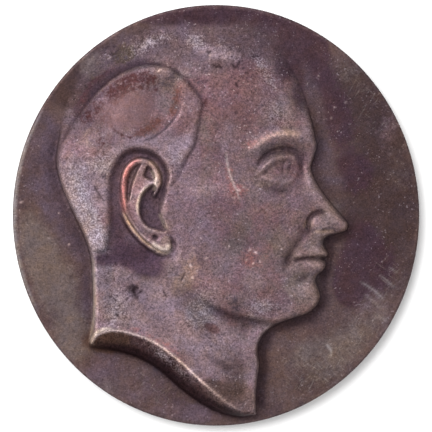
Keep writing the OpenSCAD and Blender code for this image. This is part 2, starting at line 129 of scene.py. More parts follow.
# Opening of the eye, sunk between the lids
EYE = [
    (10.9, 9.9), (12.9, 11.8), (15.2, 13), (17.5, 13.2), (18.7, 12), (18.7, 10.2), (17.5, 8.8), (14.2, 8.8)]

# Heights of the head over the field, blended softly: x, y, height
HEIGHTS = [
    (-8, 41, 3), (-25, 34, 2.6), (-33, 26, 2.4), (8, 39, 3.2), (-18, 30, 3.8), (-2, 33, 4.5), (9, 30, 5),
    (17, 28, 4), (-28, 12, 4.2), (-34, 12, 3.7), (-30, 0, 4.6), (-26, -8, 4.8), (-17, 20, 4.9),
    (-5, 22, 5.8), (-6, 13, 6.1), (2, 22, 5.7), (6, 15, 5.5), (12, 21, 5), (18, 21, 4.3), (22, 20, 3.6),
    (12, 12, 4.9), (17, 12, 4), (21, 12, 3), (8, 5, 6), (-2, 5, 6.3), (14, 4, 5.1), (19, 3, 4.2),
    (24, 5, 3.3), (28, -1, 3), (23, 9, 3), (6, -5, 5.5), (12, -7, 5), (0, -9, 5.9), (-7, -3, 6.2),
    (18, -10, 4), (24, -10, 3.1), (22, -7, 3.5), (20, -19, 3.9), (24, -19, 3), (-6, -12, 5.7), (3, -16, 5.6),
    (12, -17, 4.9), (16, -24, 3.4), (10, -28, 3.3), (0, -26, 4.1), (0, -34, 4.3), (-9, -22, 5),
    (-18, -16, 5.2), (-24, -22, 5), (-22, -28, 4.9), (-12, -31, 4.8), (8, -36, 3.6), (7, -43, 3.9),
    (-2, -41, 4.3), (6, -48, 4)]
# Soft lumps and hollows: amount, middle x and y, half width and height, turn and squareness if any
LUMPS = [
    (-0.6, 5.5, 17.5, 5, 6), (-0.7, 7, -7, 5, 4, -30), (0.5, 11, 1.5, 5, 3.2, -15),
    (0.5, 7.6, -33.5, 2.6, 3.4), (-1.5, 17.2, 12.2, 5.4, 4, 0, 1.3), (-1, 20.4, 11, 1.7, 4),
    (1.75, 15.2, 11, 4.2, 3.2, 0, 1.7), (-0.45, 17.4, 11.2, 0.6, 1, 0, 1.5), (1, 25, -2.2, 2.5, 1.9, 0, 1.4),
    (0.5, 29, -1.7, 2.1, 1.9), (-0.5, 17.4, -11, 1.1, 1.4, 20), (0.6, 21, -18.8, 3.4, 3),
    (-0.09, -0.9, -26.7, 2, 1.05, -28, 4)]
# Soft ridges and furrows: amount, half width, taper, places along it
STROKES = [
    (0.7, 3, 0.4, [(-7, 3.6), (1, 5.4), (8, 5.6), (14, 3.4)]),
    (0.45, 2, 0.35, [(16, -22.2), (9, -21.2), (2, -18.8), (-4, -14.8), (-7.4, -10.6)]),
    (1.1, 2.8, 0.4, [(-15, -10), (-11, -20), (-4, -31), (5, -43)]),
    (-0.4, 1.8, 0.4, [(-8, -16), (-3, -26), (6, -38)]),
    (-0.5, 2.4, 0.4, [(-20, -14), (-16, -23), (-10, -31)]),
    (1.2, 1.4, 0.3, [(7.8, 14.2), (11, 17.2), (15.6, 18.8), (20.4, 18.2), (23.8, 16.4)]),
    (0.7, 0.5, 0.2, [(9.8, 9.6), (12.2, 12.2), (15, 13.7), (17.8, 13.9), (19.2, 12.6)]),
    (-0.75, 0.45, 0.25, [(9.4, 11.6), (12.4, 14.6), (16.4, 15.8), (19.8, 14.8)]),
    (0.45, 0.5, 0.3, [(10.8, 9), (13.8, 8), (16.8, 7.8), (18.6, 8.8)]),
    (-0.5, 0.8, 0.5, [(10.8, 7.2), (14.6, 5.6), (18.8, 5.8)]),
    (-0.35, 0.28, 0.1, [(16.2, 12.9), (15.8, 11.4), (16, 9.4)]),
    (-0.95, 0.5, 0.3, [(22.6, -4.6), (21.8, -2.8), (22.2, -0.6), (24, 0.7), (26.6, 0.4)]),
    (-1.4, 0.5, 0.25, [(24.6, -4), (26.2, -3.6), (28.4, -3.7)]),
    (0.5, 0.95, 0.3, [(26.4, -8.9), (23.6, -8.8), (20.8, -9.5), (18.6, -10.4)]),
    (0.7, 1.05, 0.35, [(26, -11.8), (23.4, -12.1), (20.6, -11.6)]),
    (-1, 0.42, 0.15, [(26.8, -10.3), (23.4, -10.1), (21, -10.2), (18.2, -10.9)]),
    (-0.7, 1.1, 0.4, [(25.2, -14.9), (21.6, -14.9), (18.6, -15.4)]),
    (-0.6, 0.9, 0.5, [(21.8, -3.6), (19.2, -6.8), (16.9, -10.4), (16.1, -14)]),
    (0.3, 1.6, 0.5, [(20, -2.4), (16.8, -5.6), (14.2, -9.8)]),
    (-0.35, 0.8, 0.3, [(24.9, -5.8), (24.2, -7.6)])]
# Steps that die away on the left of a line: amount, width, reach, taper, places along it
FOLDS = [
    (-1.6, 1.8, 6.5, 0.35, [(26, -24.2), (18, -24.4), (10, -23.8), (3, -22), (-3, -18.4), (-6, -14.4)]),
    (0.6, 0.9, 4, 0.35, [(-6.4, -29.4), (-3, -31.4), (0.9, -34.4), (4.7, -37.2), (7.4, -38.6)]),
    (0.28, 0.5, 2.6, 0.35, [(-9.4, 31.4), (-8.3, 28.2), (-9.1, 23.8), (-12.4, 20), (-17.2, 17.4)])]
# Groups of small casting pits: middle x and y, how many, spread
PITTED = [
    (-19.6, -17.6, 14, 1.1), (-22.5, -22.5, 14, 2.2), (-24, 37.6, 10, 1.5), (1, 35.6, 16, 2.6),
    (-3, 32, 14, 2.6), (6, 31.6, 12, 2.6), (-16, 41, 10, 3), (16, 33, 6, 2), (-27, -14, 10, 2.4)]

# Tarnish by kind: strength, middle x and y, half width and height, turn if any. Most are tints; the rows
# noted below also paint shade.
# Shadow lies under the ear, dusty on the hair and spot on the neck. Pocked has more pits and calm
# fewer, scuffed has fine hatching, and fleck is single bright specks
TARNISH = {
    # Purple is a tint, and on the field right of the face and forehead it is also painted shade
    "purple": [(0.7, 15.8, 34.6, 2.6, 4, -35), (0.95, 22.8, 33, 3.4, 4, -40), (0.6, 19.2, 27.6, 1.8, 4, 20),
        (0.8, -15.4, 35.3, 3, 0.8, 4), (1.3, -4, 47.8, 18, 3.4), (1.1, 18, 40, 7, 5, -35),
        (1, 15, 44.6, 9, 3.4, -25), (1, 36, -12, 4.5, 7, 10), (0.9, 31.5, -18, 3.4, 5),
        (1, 28, 25, 4.5, 11, 18), (1, 33, 10, 5, 5, -40), (0.8, 34, -6, 4, 8), (0.9, 31, -15, 3.4, 5),
        (0.6, 24, 14, 2.5, 4), (0.6, 21, -3, 3, 3), (0.5, -10, -43, 10, 3, -28),
        (0.6, -22, 33.4, 4.4, 1.4, 24), (0.6, 40, -12, 4, 6), (1.2, -27, 31, 5.8, 2.4, 44),
        (1.2, -19, 36, 3.6, 1.1, 14), (1, -31.6, 25.4, 4, 2, 55), (0.8, -18.5, -9.6, 6.4, 3.4),
        (0.9, 22, 42, 6, 3.4, -35)],
    "shadow": [(1.1, -19.5, -9.8, 6, 3, -16), (0.9, -15.6, -12.8, 3.6, 2.4, -10),
        (0.6, -23.4, -3, 1.6, 5, 14), (1, -26.4, -10.6, 3.2, 1.5)],
    "slate": [(0.9, 3.2, -33, 4, 3.6), (0.9, 3.6, -37.4, 3.2, 3), (0.4, -7.6, -5, 2, 5),
        (0.7, 0, 35.4, 3.6, 2.8), (0.6, -39.4, 14, 2.4, 8, -6), (0.6, -33, -8, 2, 8, 10),
        (0.9, -20, 39.4, 10, 4.2, 27), (0.9, -4, 41.6, 14, 4), (0.8, 9, 39, 8, 6, -38), (0.6, -6, 37, 9, 5),
        (0.5, -28, 35.5, 3, 6, -42), (0.2, -34.6, 24, 2.2, 8, -18), (0.9, 23.2, 28.5, 2, 7.5, 18),
        (0.9, 25.2, 16, 2.2, 6, 10), (0.8, 28.4, 8.6, 3, 2.4, -40), (0.6, -28.6, 22, 5, 5)],
    "umber": [(0.9, -35.8, 29, 4.2, 4.4, -40), (0.8, -32.4, 29.6, 2.6, 3.6, -40),
        # The row at x 40, y 4 darkens the right of the field, away from the light: painted shade
        (1.2, -10, 48.2, 8, 2.4, 8), (0.6, -42.6, 22.5, 3, 5, -20), (0.9, 40, 4, 12, 26),
        (0.7, 34, 30, 9, 10, 40), (1.2, 2, 48.2, 22, 3), (0.8, -30, 38, 7, 6, -40),
        (0.8, -31, 31.5, 4, 3, 45), (0.6, 24, -38, 10, 6, 30)],
    "olive": [(0.9, -43, -6, 4, 9, 12), (0.9, -38, -17, 6, 10, 18), (0.8, -33, -30, 6, 6, 30),
        (0.5, -25, -40, 6, 4, 35), (0.6, -29.6, 35.4, 4.4, 4, -40), (0.5, 33, 33, 5, 6, 40),
        (0.4, 43, 12, 4, 14), (0.5, 26, -37, 10, 5, 32), (0.5, 38, -24, 4, 8, -30), (0.5, 20, -33, 6, 3, 32),
        (0.55, 29, -29.6, 7, 5, 30), (0.6, 8, 3, 3, 4), (0.7, 4, -8, 4, 4), (0.6, 20, -17, 4, 3),
        (0.5, 17, 19, 4, 2, 20), (0.5, -31, 17, 3, 4), (0.5, 6, -3, 4, 3), (0.5, -22, 21, 4, 2.4, 30),
        (0.5, 1.5, -13.5, 4.4, 3.4, -35), (0.8, 27, 0, 3.4, 5, -35), (0.9, 24, -8, 3, 4),
        (0.9, 21.5, -17, 4, 5), (0.6, 15, -6, 2.4, 6, -10)],
    "steel": [(1.4, -26.8, -13, 2.6, 4.4), (0.6, -26, -20.6, 2.4, 3.6), (0.5, -8.6, 3, 1.8, 4.4, 8)],
    "dusk": [(0.45, -33.6, 18.4, 2.4, 3.4), (0.7, -37, 14.6, 1.3, 3.8, -4), (0.6, -42.5, 16, 3, 10, -6),
        (0.7, -40.2, 2.5, 2.2, 6, 18)],
    "wine": [(1.1, -28.8, 31.2, 2.8, 1.5, 44), (0.8, -25.8, 33.6, 2, 0.9, 40),
        (0.7, -31.2, 27.6, 1.8, 1.2, 55)],
    "moss": [(1.1, -21, 37.9, 2.2, 1.3, 20), (0.9, -22.6, 38.2, 3.6, 2.2, 38),
        (0.5, -28.6, 33.4, 2.4, 3.6, -35)],
    "rose": [(0.35, -12.6, -25.2, 3.4, 2.6, -20), (0.9, -3, 28.6, 4, 4), (0.9, -35.4, 15.5, 1.8, 3.4, -20),
        (0.7, -7.6, 29, 2.4, 3), (0.9, 5, 27, 10, 8), (0.7, 9, 33, 6, 5, -20), (0.5, 2, 14, 6, 6),
        (0.8, -6.6, 29.4, 1.8, 3, 25), (0.8, -7, 18, 3, 9), (0.5, 2, -4, 6, 5),
        (1.2, -13.5, -25.4, 5, 3.6, -30), (1, -20, 24.6, 7, 5, 20), (0.6, -27, 14, 4, 4),
        (0.7, 5, 5.4, 2.4, 1.6), (0.3, -22, -38, 7, 3, -20), (0.5, -6, -34, 5, 3, -40)],
    "mauve": [(0.75, -1, 38.6, 5, 2, -8), (0.45, 3.9, 37.4, 2.4, 1.8, -20), (0.8, -34.4, 6.6, 2.2, 5.4, 14),
        (0.9, -31, 9, 4.4, 5), (0.9, -27.4, 5, 3.4, 5.4), (0.9, -16.4, 17.6, 4, 1.8),
        (0.7, -8.6, 16.4, 3.6, 2.6), (0.7, -23, 13.6, 4, 3), (1.1, -14, -22, 7, 6, -20),
        (1.4, -13.2, -26.5, 3.4, 2.6, -20), (0.7, -4, -33, 9, 5, -40), (0.5, -24, -20, 6, 9),
        (0.35, -6, 22, 3.4, 9), (0.8, 1, -29, 5, 4), (0.6, -8, -12, 4, 7), (1.2, -3.5, -22.5, 4.4, 5, -25),
        (0.6, 3, 18, 3, 6), (0.7, 16.6, 26, 1.6, 4, 15), (0.7, 9, -15, 4, 3, -20)],
    "violet": [(0.8, -7, 6, 4, 10), (0.3, -9.2, 0.8, 2.6, 5), (0.8, -6.5, 13, 3, 5), (0.6, -4, -5, 5, 7),
        (0.5, 12, 26, 3, 8, 20), (0.6, -30, 8, 3, 7, 8), (0.6, -22, -17, 5, 5),
        (0.5, -23.8, 31.8, 4, 0.9, 42), (0.5, 2, -12, 5, 5), (0.5, -12, 44, 6, 1.6, 10)],
    "tan": [(1, -11.8, -6.8, 1.3, 1.5), (0.6, 11, 7.4, 3.4, 1), (0.6, -6, -13, 3.6, 6.4),
        (0.45, -9, -17, 3, 3), (0.5, 14, 16, 3, 1.6, 10), (0.6, -11.6, -5.8, 1.2, 1.4),
        (0.6, 22, -2.2, 2.4, 1.6), (0.4, -29.6, 19, 3, 4)],
    "dusty": [(1.3, -20.2, 24.6, 6.6, 4.2, 24)],
    "pocked": [(1, -1, 35.6, 7, 4.4), (0.9, 8, 33, 5, 5), (1.1, -24.5, -16, 4, 8),
        (0.9, -23, 37.4, 5, 2.6, 38), (0.7, -13, 41, 8, 2.4, 12), (0.6, -9, 29, 2.4, 3.4),
        (0.8, -1, -13, 5, 5), (0.7, 16, -22, 5, 2.6)],
    "scuffed": [(1, 24, -38, 9, 6, 32), (0.8, 36, -27, 5, 8, -30), (0.8, 41, -15, 4, 5),
        (0.7, 37, 26, 4, 8, 30), (0.6, -16, -41, 8, 3, -25)],
    "calm": [(1.2, -35.6, 29.6, 7, 8.4, -40), (0.8, -39.6, 12, 3, 12), (0.7, -38, -16, 6, 12, 15)],
    "spot": [(1.5, -0.9, -26.7, 2, 1.05, -28)],
    "plum": [(0.55, -18, -42, 8, 6, -20), (0.8, -27, -36, 5, 5, -40), (0.8, -5, -47, 8, 3),
        (0.5, 38, -22, 6, 8, -30), (0.5, 41, 20, 4, 8)],
    "brown": [(0.9, 3, -44.6, 2.4, 0.9, -34), (1.2, 0.8, -42, 4.8, 2.4, -38), (1.2, 5.6, -43, 3.8, 3.6)],
    "gold": [(1.3, -25.6, -29.8, 6.4, 3)],
    "ember": [(0.9, 5.4, 5.8, 2.4, 1.7, -20), (0.42, 8.6, -10.4, 4.2, 3.4, 10), (0.6, 3.2, 9.4, 1, 4, 15),
        (0.6, 11, 17.6, 4, 1.2, 20), (0.6, -5.6, -12.6, 1.6, 2.6)],
    "fleck": [(1.2, -6, -11.9, 0.36, 0.32), (1.1, -5.6, -14.7, 0.28, 0.3), (0.8, -2.2, -10.1, 0.26, 0.22),
        (0.7, 8, -8.2, 0.4, 0.2, 30), (0.9, 9.4, -8.8, 0.44, 0.2, -20), (0.7, 8.8, -11.4, 0.28, 0.2, 60),
        (0.6, 10.4, -11, 0.2, 0.3), (0.6, 7.2, -10.6, 0.24, 0.2), (0.8, 5.4, 5.9, 0.44, 0.24, -30),
        (0.6, 4.2, 4.2, 0.24, 0.3, 20), (0.6, 6.6, 6.6, 0.24, 0.2), (0.7, -4.6, -13.2, 0.24, 0.22),
        (0.7, -7.6, -15.4, 0.24, 0.22), (0.6, 3.2, -7.2, 0.24, 0.22), (0.35, -25.2, 37.4, 0.34, 0.22, 40),
        (0.9, -13.4, 34.2, 0.5, 0.26, 20), (0.5, -1.4, 37.8, 0.26, 0.24), (0.5, -46.2, 3.1, 0.26, 0.24),
        (0.45, -37.4, 0.5, 0.22, 0.2), (0.55, -34.9, -6.9, 0.24, 0.2), (0.4, 24.4, 33.1, 0.22, 0.2),
        (0.4, 28.1, 25.6, 0.24, 0.2), (0.45, 30.8, 26.8, 0.2, 0.22), (0.4, 27.4, 23.1, 0.24, 0.2)],
    "silver": [(0.45, -22.8, -21, 2.6, 4, 6), (0.3, -14.6, 34.4, 4.4, 0.8, -6),
        (0.5, -8.6, 32.6, 1.2, 1.4, -40), (0.9, -33, 4, 3.4, 8, 8), (1, -30, -3, 3.6, 5, 12),
        (1, -27.6, -6.6, 2.8, 2.6), (0.6, -26, 12, 4, 3), (0.45, -13.4, 42, 3.4, 1.4, 10),
        (0.45, -17.8, 39.8, 3, 1.6, 20), (0.55, -4.6, 41, 2.6, 1.9, -20), (0.3, 0.6, 41, 1.8, 1.4, -20),
        (0.45, 12.4, 32.6, 1.6, 3.6, 30), (0.35, 10, 36.6, 1.5, 2.8, 52), (0.25, 2.4, 38.6, 1.2, 2),
        (0.4, -26, -12, 3.4, 3), (0.3, -26, -24, 3.2, 4), (0.5, 10.5, -22, 3.6, 2.6, 10),
        (0.4, 14, 24, 3, 4, 30), (0.3, 0.4, -30.4, 3, 1.6, -30), (1.1, -3.6, -22.8, 3.4, 3.8, -20),
        (0.4, -10, 13, 3, 3), (0.45, -12.2, -33.4, 4.4, 1.2, -40), (0.4, -8, -37.4, 3, 1, -42)],
    "rust": [(0.9, -2.7, 26.6, 0.8, 1.3), (0.6, -26.4, 17.4, 3.2, 1.7, 8), (0.5, -26, 23.4, 1, 3.2),
        (0.8, -16, 32.8, 3.4, 1.6, 8), (0.6, -21.6, 30.4, 3, 1.8, 40)],
    "dark": [(0.6, -26.6, 9.3, 0.9, 0.8), (0.7, -11.6, 31.6, 2.2, 2.2, -30),
        (0.5, -9.6, 33.2, 1.6, 1.6, -40), (0.7, -23.9, 37.3, 1, 0.9), (0.7, -21.4, 37.4, 0.8, 0.7),
        # The patch at x 4.4, y -21.4 is painted shade in the hollow under the jaw
        (0.7, -19.6, -17.8, 1.4, 1.1, 20), (0.3, -21.6, -21.6, 2.2, 1.2, 30), (0.6, 4.4, -21.4, 1.8, 3, 25),
        (0.5, 2.2, 31.4, 1.2, 0.7), (0.4, 9.5, 29.5, 1.6, 0.8), (0.4, -13, -36.6, 7, 1.6, -38),
        (0.5, -2.6, 33.6, 1.6, 0.8, 10), (0.5, -4.4, 31.6, 1.2, 0.8), (0.4, 11, 26, 1, 0.8),
        (0.5, 3.4, 34.8, 1, 0.6)]}
# How square a patch is, and the kinds whose edge is crisper
PATCH_SHARPNESS = 1.3
SHARPNESS = {"dusty": 2.0, "spot": 4.0}

# Fine lines by kind: strength, half width, places along them. One kind is a painted highlight on the
# left edge of the disc, where light falls on its rounding, and one a painted shadow line under ear, bevel and
# neck
STREAKS = {
    "dusk": [
        (1.2, 2.4, [(-38, 25), (-39, 21), (-39.9, 16), (-39.8, 11), (-38, 4.4), (-35.6, -1.6), (-33.2, -6.4),
            (-31.6, -12)]),
        (0.6, 1.2, [(-31.2, -9), (-30.8, -18), (-31.2, -26)])],
    "cream": [
        (0.65, 0.3, [(-29.9, -29.5), (-29.1, -26), (-28.8, -18), (-29.2, -9)]),
        (0.8, 0.42, [(-29.7, -30.6), (-29.2, -28.9), (-28.2, -27.8), (-26.6, -27), (-24.2, -26.9)]),
        (0.7, 0.35, [(-15.2, 7.4), (-17.2, 5.6), (-18.4, 2.6), (-18.4, 0)]),
        (0.6, 0.35, [(-13.4, 0.6), (-12.4, -1.6), (-11.8, -3.4)]),
        (0.8, 0.4, [(-14.6, 5.6), (-14.3, 8.4), (-15.2, 10.8)]),
        (1, 0.7, [(-15.4, -6.6), (-13.2, -7.9), (-11.6, -8.1), (-11, -6.6)])],
    # Painted highlight on the rounded left edge of the disc, the side that faces the light
    "worn": [(0.6, 0.34, [(-40.85, 26), (-46.1, 13.6), (-47.95, 0), (-46.3, -13), (-41.9, -24.2)])],
    # Painted highlight along the top edge of the bevel that cuts the neck off
    "bright": [(0.3, 0.18, CUT_TOP[1:]), (0.8, 0.2, CUT_TOP[3:])],
    "copper": [
        (0.85, 0.3, [(-22.1, 1.2), (-20.4, -2.1), (-17.8, -5.3), (-14.5, -7.8), (-12.2, -8.7),
            (-10.8, -8.2)]),
        (0.45, 0.5, [(-13.6, 6.2), (-13.2, 8.6), (-14.3, 11.5), (-16.2, 13)]),
        (0.2, 0.8, [(9, 15.8), (12, 18.2), (16, 19.5), (20.4, 18.8)]),
        (0.4, 0.4, [(23.2, -3.6), (25, -3.9), (28.2, -3.6)])],
    "blush": [(1, 0.6, [(-21.2, 0), (-21.8, 3.4), (-21.8, 7.2), (-20.8, 10.8), (-19, 12.7), (-17.4, 12.9)])],
    "ember": [(0.55, 1.1, [(-23, -26.6), (-19.4, -27.4), (-14.2, -29.4), (-9.6, -32.8), (-6, -36.2)])],
    "rust": [
        (1.4, 2.5, [(-26.6, 26.6), (-22.8, 29.6), (-19.8, 31.4), (-16.6, 32), (-12.8, 30.8)]),
        (0.85, 2.2, [(-32, 21.4), (-29.2, 24.8), (-25.6, 27.2)]),
        (0.55, 0.8, [(-28.2, 27), (-27.2, 22.6), (-27.4, 18.6), (-25, 16.4)]),
        (0.8, 0.5, [(-25, 24.4), (-24.4, 21), (-22, 18.8), (-18.4, 18)])],
    "amber": [
        (1.1, 1.1, [(-9.8, 31.4), (-9.2, 29.6), (-9.4, 27.6), (-10.2, 25), (-11.4, 23)]),
        (1.2, 1.3, [(-12, 23.4), (-14.2, 21.6), (-16.6, 19.8), (-20, 18.4)])],
    "scratch": [
        (0.24, 0.22, [(34, -15.6), (36.2, -16.9), (38.6, -18.8), (40.2, -20.6)]),
        (0.16, 0.2, [(35, -18.6), (37.4, -20.4), (39.4, -22.6)]),
        (0.17, 0.2, [(38.6, -14), (40.4, -15.4), (42.6, -17.4)]),
        (0.15, 0.2, [(41, -12.2), (43.2, -13.8)]),
        (0.16, 0.22, [(37.2, -23.4), (39.4, -24.4), (40.8, -25.4)]),
        (0.36, 0.24, [(26.1, -30.6), (27.3, -32), (27.3, -33.9)]),
        (0.42, 0.26, [(2.4, 15.4), (2.6, 12.6), (3.6, 8.8), (5, 5.4), (5.8, 2.8)])],
    "crack": [(1, 0.42, [(-15, -4.8), (-14.3, -5.1), (-13.9, -5.7)]),
        (1.4, 0.32, [(3.7, 36.1), (4.6, 34.9), (5.1, 35.4), (5.9, 36.9)]),
        (1.2, 0.3, [(-0.8, 35.9), (-0.2, 35.3), (0.5, 34.8)]),
        (1.2, 0.3, [(0.6, 35.9), (1.1, 35), (1.7, 34.6)]),
        (1.3, 0.34, [(4.6, 31.4), (4.9, 30.9), (5.1, 30.2)]),
        (1.1, 0.3, [(-2.3, 39), (-1.6, 38.7), (-0.9, 39.1)]), (1, 0.28, [(-2.2, 37.9), (-1.2, 37.7)]),
        (1, 0.26, [(8.6, 37.2), (9.6, 37.9), (10.4, 37.5)]), (0.8, 0.24, [(7, 33.9), (8, 33.4)]),
        (1, 0.26, [(-28.9, 7.2), (-27.6, 5), (-26.2, 3)]), (0.8, 0.24, [(-28.2, 4.6), (-27.2, 3.6)]),
        (1, 0.26, [(-12.6, -17.3), (-11.6, -19.6)]), (1, 0.26, [(-7.2, -13.4), (-8.4, -15.9)]),
        (1.3, 0.5, [(-21.2, -17.6), (-19.8, -16.8), (-18.2, -17.3)]),
        (1.3, 0.5, [(-19.6, -16.8), (-19.2, -18.6), (-18.2, -20)]),
        (1, 0.32, [(-20.6, -19.4), (-21.4, -20.2)]), (0.9, 0.3, [(-22.4, -20.8), (-23, -21.6)]),
        (0.8, 0.28, [(-21.4, -22.8), (-22.2, -23)]), (1, 0.32, [(-18.8, -18.6), (-17.2, -17.8)]),
        (0.9, 0.28, [(-24.4, -19.4), (-23.4, -20.6)]), (0.9, 0.28, [(-24, -23.4), (-22.6, -24.2)])],
    # Dark lines along grooves, creases and the hair's edge: partly patina in them, partly painted shade where
    # a step faces away from the light
    "groove": [
        (0.9, 0.9, [(-31.4, 27), (-28.9, 30), (-25.6, 32.8), (-22, 34.6)]),
        (1.2, 0.5, [(-22.4, 33.4), (-18.4, 35), (-15.2, 35.5), (-12, 35.2)]),
        (0.8, 0.34, [(-12, 35.6), (-9.8, 34.4), (-6.2, 31.2), (-3, 26.9)]),
        (0.3, 0.36, [(-2.9, 26.9), (-3.7, 22), (-4.9, 17), (-7.6, 11.8)]),
        (1.2, 0.3, [(-8.2, 26.6), (-9.4, 23.6), (-11.8, 20.6), (-15, 18.3), (-18.4, 17.2)]),
        (0.4, 0.22, [(-12.4, 28.2), (-12.6, 25.6), (-14, 22.6)]),
        (0.35, 0.22, [(-24, 25.6), (-21.4, 27.4), (-20, 28.2)]),
        (0.3, 0.3, [(-9.6, -20.4), (-8.9, -23.4), (-8.8, -27)]),
        (0.6, 0.6, [(-3.4, -31.8), (-0.4, -34.4), (4.6, -37.4)]),
        (0.6, 0.3, [(-41.8, 5.2), (-40.6, 4.2), (-39.2, 2.9)])],
    # Painted shadow at the base of the ear, the bevel and the neck, where the walls face away from the light
    "foot": [
        (1, 0.36, [(-23, 1.2), (-21.2, -2.6), (-18.4, -6.1), (-15, -8.6), (-12.2, -9.6), (-10.6, -8.9)]),
        (0.75, 1.3, [(-16, -33.5), (-12, -35.6), (-7.6, -39.4), (-3, -42.9), (1.6, -45.3), (6.4, -46.5)]),
        (1.5, 1.2, [(-31, -30.6), (-22.4, -31.7), (-17.2, -33.4), (-12.6, -36.1), (-8, -40.2), (-3.2, -43.7),
            (1.4, -46), (6, -47.2), (10.4, -46.8)])]}
STREAK_TAPER = 0.25

# Tints in the order they are laid: kind, strength, raggedness, colour, where the edge starts and ends.
# The umber tint also paints shade on the right of the field, and purple on the field beside the face
UNDER_TINTS = [
    ("umber", 0.85, 0.2, (58, 44, 44)), ("purple", 0.85, 0.5, (58, 40, 48)),
    ("plum", 0.85, 0.4, (86, 69, 75)), ("slate", 0.85, 0.2, (77, 63, 68), 0, 1),
    ("dusk", 0.9, 0.2, (80, 65, 73), 0, 0.9), ("olive", 0.7, 0.2, (99, 86, 81)),
    ("wine", 0.8, 0.9, (66, 42, 46)), ("moss", 0.9, 1.2, (64, 53, 47)),
    ("rose", 0.7, 0.2, (96, 69, 73)), ("violet", 0.7, 0.2, (109, 91, 102), 0.1, 0.9),
    ("mauve", 0.8, 0.2, (125, 107, 114), 0.1, 0.9), ("ember", 0.75, 1.4, (120, 76, 74), 0.1, 1),
    ("tan", 0.7, 0.5, (130, 108, 98)), ("brown", 0.95, 0.2, (72, 57, 55)),
    ("silver", 0.8, 0.6, (126, 113, 117))]
OVER_TINTS = [
    ("shadow", 0.9, 0.3, (60, 44, 54), 0, 0.9), ("gold", 0.9, 0.5, (72, 51, 41)),
    ("rust", 0.95, 2, (55, 31, 32), 0.1, 1.25), ("amber", 0.8, 2, (78, 48, 42), 0.3, 1.25),
    ("dark", 0.8, 1.6, (56, 48, 54))]
# Plain coats over them: kind, strength, colour. Recess and groove are partly painted shade, and the last coat
# is a painted shadow line
COATS = [
    ("dusty", 0.55, (102, 79, 79)), ("spot", 0.8, (84, 58, 58)), ("recess", 0.65, (52, 38, 45)),
    ("groove", 0.72, (56, 44, 50)), ("crack", 0.72, (42, 30, 34)), ("foot", 0.92, (30, 15, 18))]
# Rubbed lines, patchy with the dust, and painted highlights on the top edge of the cut and the left edge of
# the disc: kind, where the patches end, least and most, colour
RUBBED_AND_LIT = [
    ("copper", 0.55, 0.45, 1, (218, 184, 160)),
    ("cream", 0.55, 0.35, 1, (204, 184, 168)),
    ("bright", 0.5, 0.55, 1, (222, 196, 188)),
    ("blush", 0.60, 0.5, 0.95, (170, 108, 106)),
    ("worn", 0.55, 0.5, 1, (134, 129, 127))]
# Fine hatching of the field: length, width, turn
HATCHES = [(4.0, 0.45, 62), (3.2, 0.40, 34), (3.6, 0.45, -38)]

# The picture, in metres but for the sensor's millimetres: camera, soft light, glow, table
CAMERA_PLACE = (0, -0.00017, 0.9)
CAMERA_SIGHT = 20
SENSOR_WIDTH = 36
PICTURE_WIDTH = 0.1026
KEY_PLACE = (-0.54, 0.55, 0.92)
KEY_SIZE = 1.30
KEY_POWER = 22
GLOW_AROUND = 1.15
GLOW_ABOVE = 0.60
TABLE_HALF = 3


def spline(points, per=8, closed=False):
    """Smooth curve through the places, as evenly rounded as they allow."""
    p = np.array(points, float)
    ends = (p[-1:], p[:2]) if closed else (2*p[:1]-p[1:2], 2*p[-1:]-p[-2:-1])
    p = np.vstack([ends[0], p, ends[1]])
    out = []
    for four in zip(p, p[1:], p[2:], p[3:]):
        knots = np.cumsum([0]+[np.linalg.norm(b-a)**0.5 for a, b in zip(four, four[1:])])
        for k in range(per):
            t = knots[1]+(knots[2]-knots[1])*k/per
            level = four
            for spans in (((0, 1), (1, 2), (2, 3)), ((0, 2), (1, 3)), ((1, 2),)):
                level = [((knots[j]-t)*a+(t-knots[i])*b)/(knots[j]-knots[i])
                         for (i, j), a, b in zip(spans, level, level[1:])]
            out.append(level[0])
    out.append(p[1] if closed else p[-2])
    return np.array(out)


def window(points, margin):
    """The part of the chart round some places."""
    corner = np.array([CHART_Y[0], CHART_X[0]])
    low = np.maximum(((np.min(points, 0)-margin)[::-1]-corner)/CELL, 0).astype(int)
    high = np.maximum((((np.max(points, 0)+margin)[::-1]-corner)/CELL).astype(int)+2, low)
    return tuple(slice(first, last) for first, last in zip(low, high))


def near(line, reach):
    """Distance to a line, the side of it (left is positive) and the share of its run there."""
    far = np.full(X.shape, float(reach))
    side = np.zeros(X.shape)
    share = np.zeros(X.shape)
    lengths = np.hypot(*(line[1:]-line[:-1]).T)
    run = np.concatenate([[0], np.cumsum(lengths)])
    for i in range(len(line)-1):
        a, b = line[i], line[i+1]
        w = window([a, b], reach)
        x, y = X[w]-a[0], Y[w]-a[1]
        ux, uy = b-a
        t = np.clip((x*ux+y*uy)/max(ux*ux+uy*uy, 1e-12), 0, 1)
        dx, dy = x-t*ux, y-t*uy
        d = np.hypot(dx, dy)
        m = d < far[w]
        far[w][m] = d[m]
        share[w][m] = (run[i]+t[m]*lengths[i])/run[-1]
        side[w][m] = np.sign(ux*dy-uy*dx)[m]
    return far, side, share


def inside(loop):
    """True for the cells of the chart that a closed line goes round."""
    hit = np.zeros(X.shape, bool)
    for (ax, ay), (bx, by) in zip(loop[:-1], loop[1:]):
        if ay == by:
            continue
        r0, r1 = np.searchsorted(CHART_Y, [min(ay, by), max(ay, by)])
        cross = ax+(CHART_Y[r0:r1]-ay)*(bx-ax)/(by-ay)
        hit[r0:r1] ^= X[r0:r1] < cross[:, None]
    return hit


def signed(loop, reach):
    """Distance to a closed line, positive inside it."""
    d = near(loop, reach)[0]
    return np.where(inside(loop), d, -d)


def ease(a, b, v):
    """Goes smoothly from 0, where v is a, to 1, where v is b."""
    t = np.clip((v-a)/(b-a), 0, 1)
    return t*t*(3-2*t)


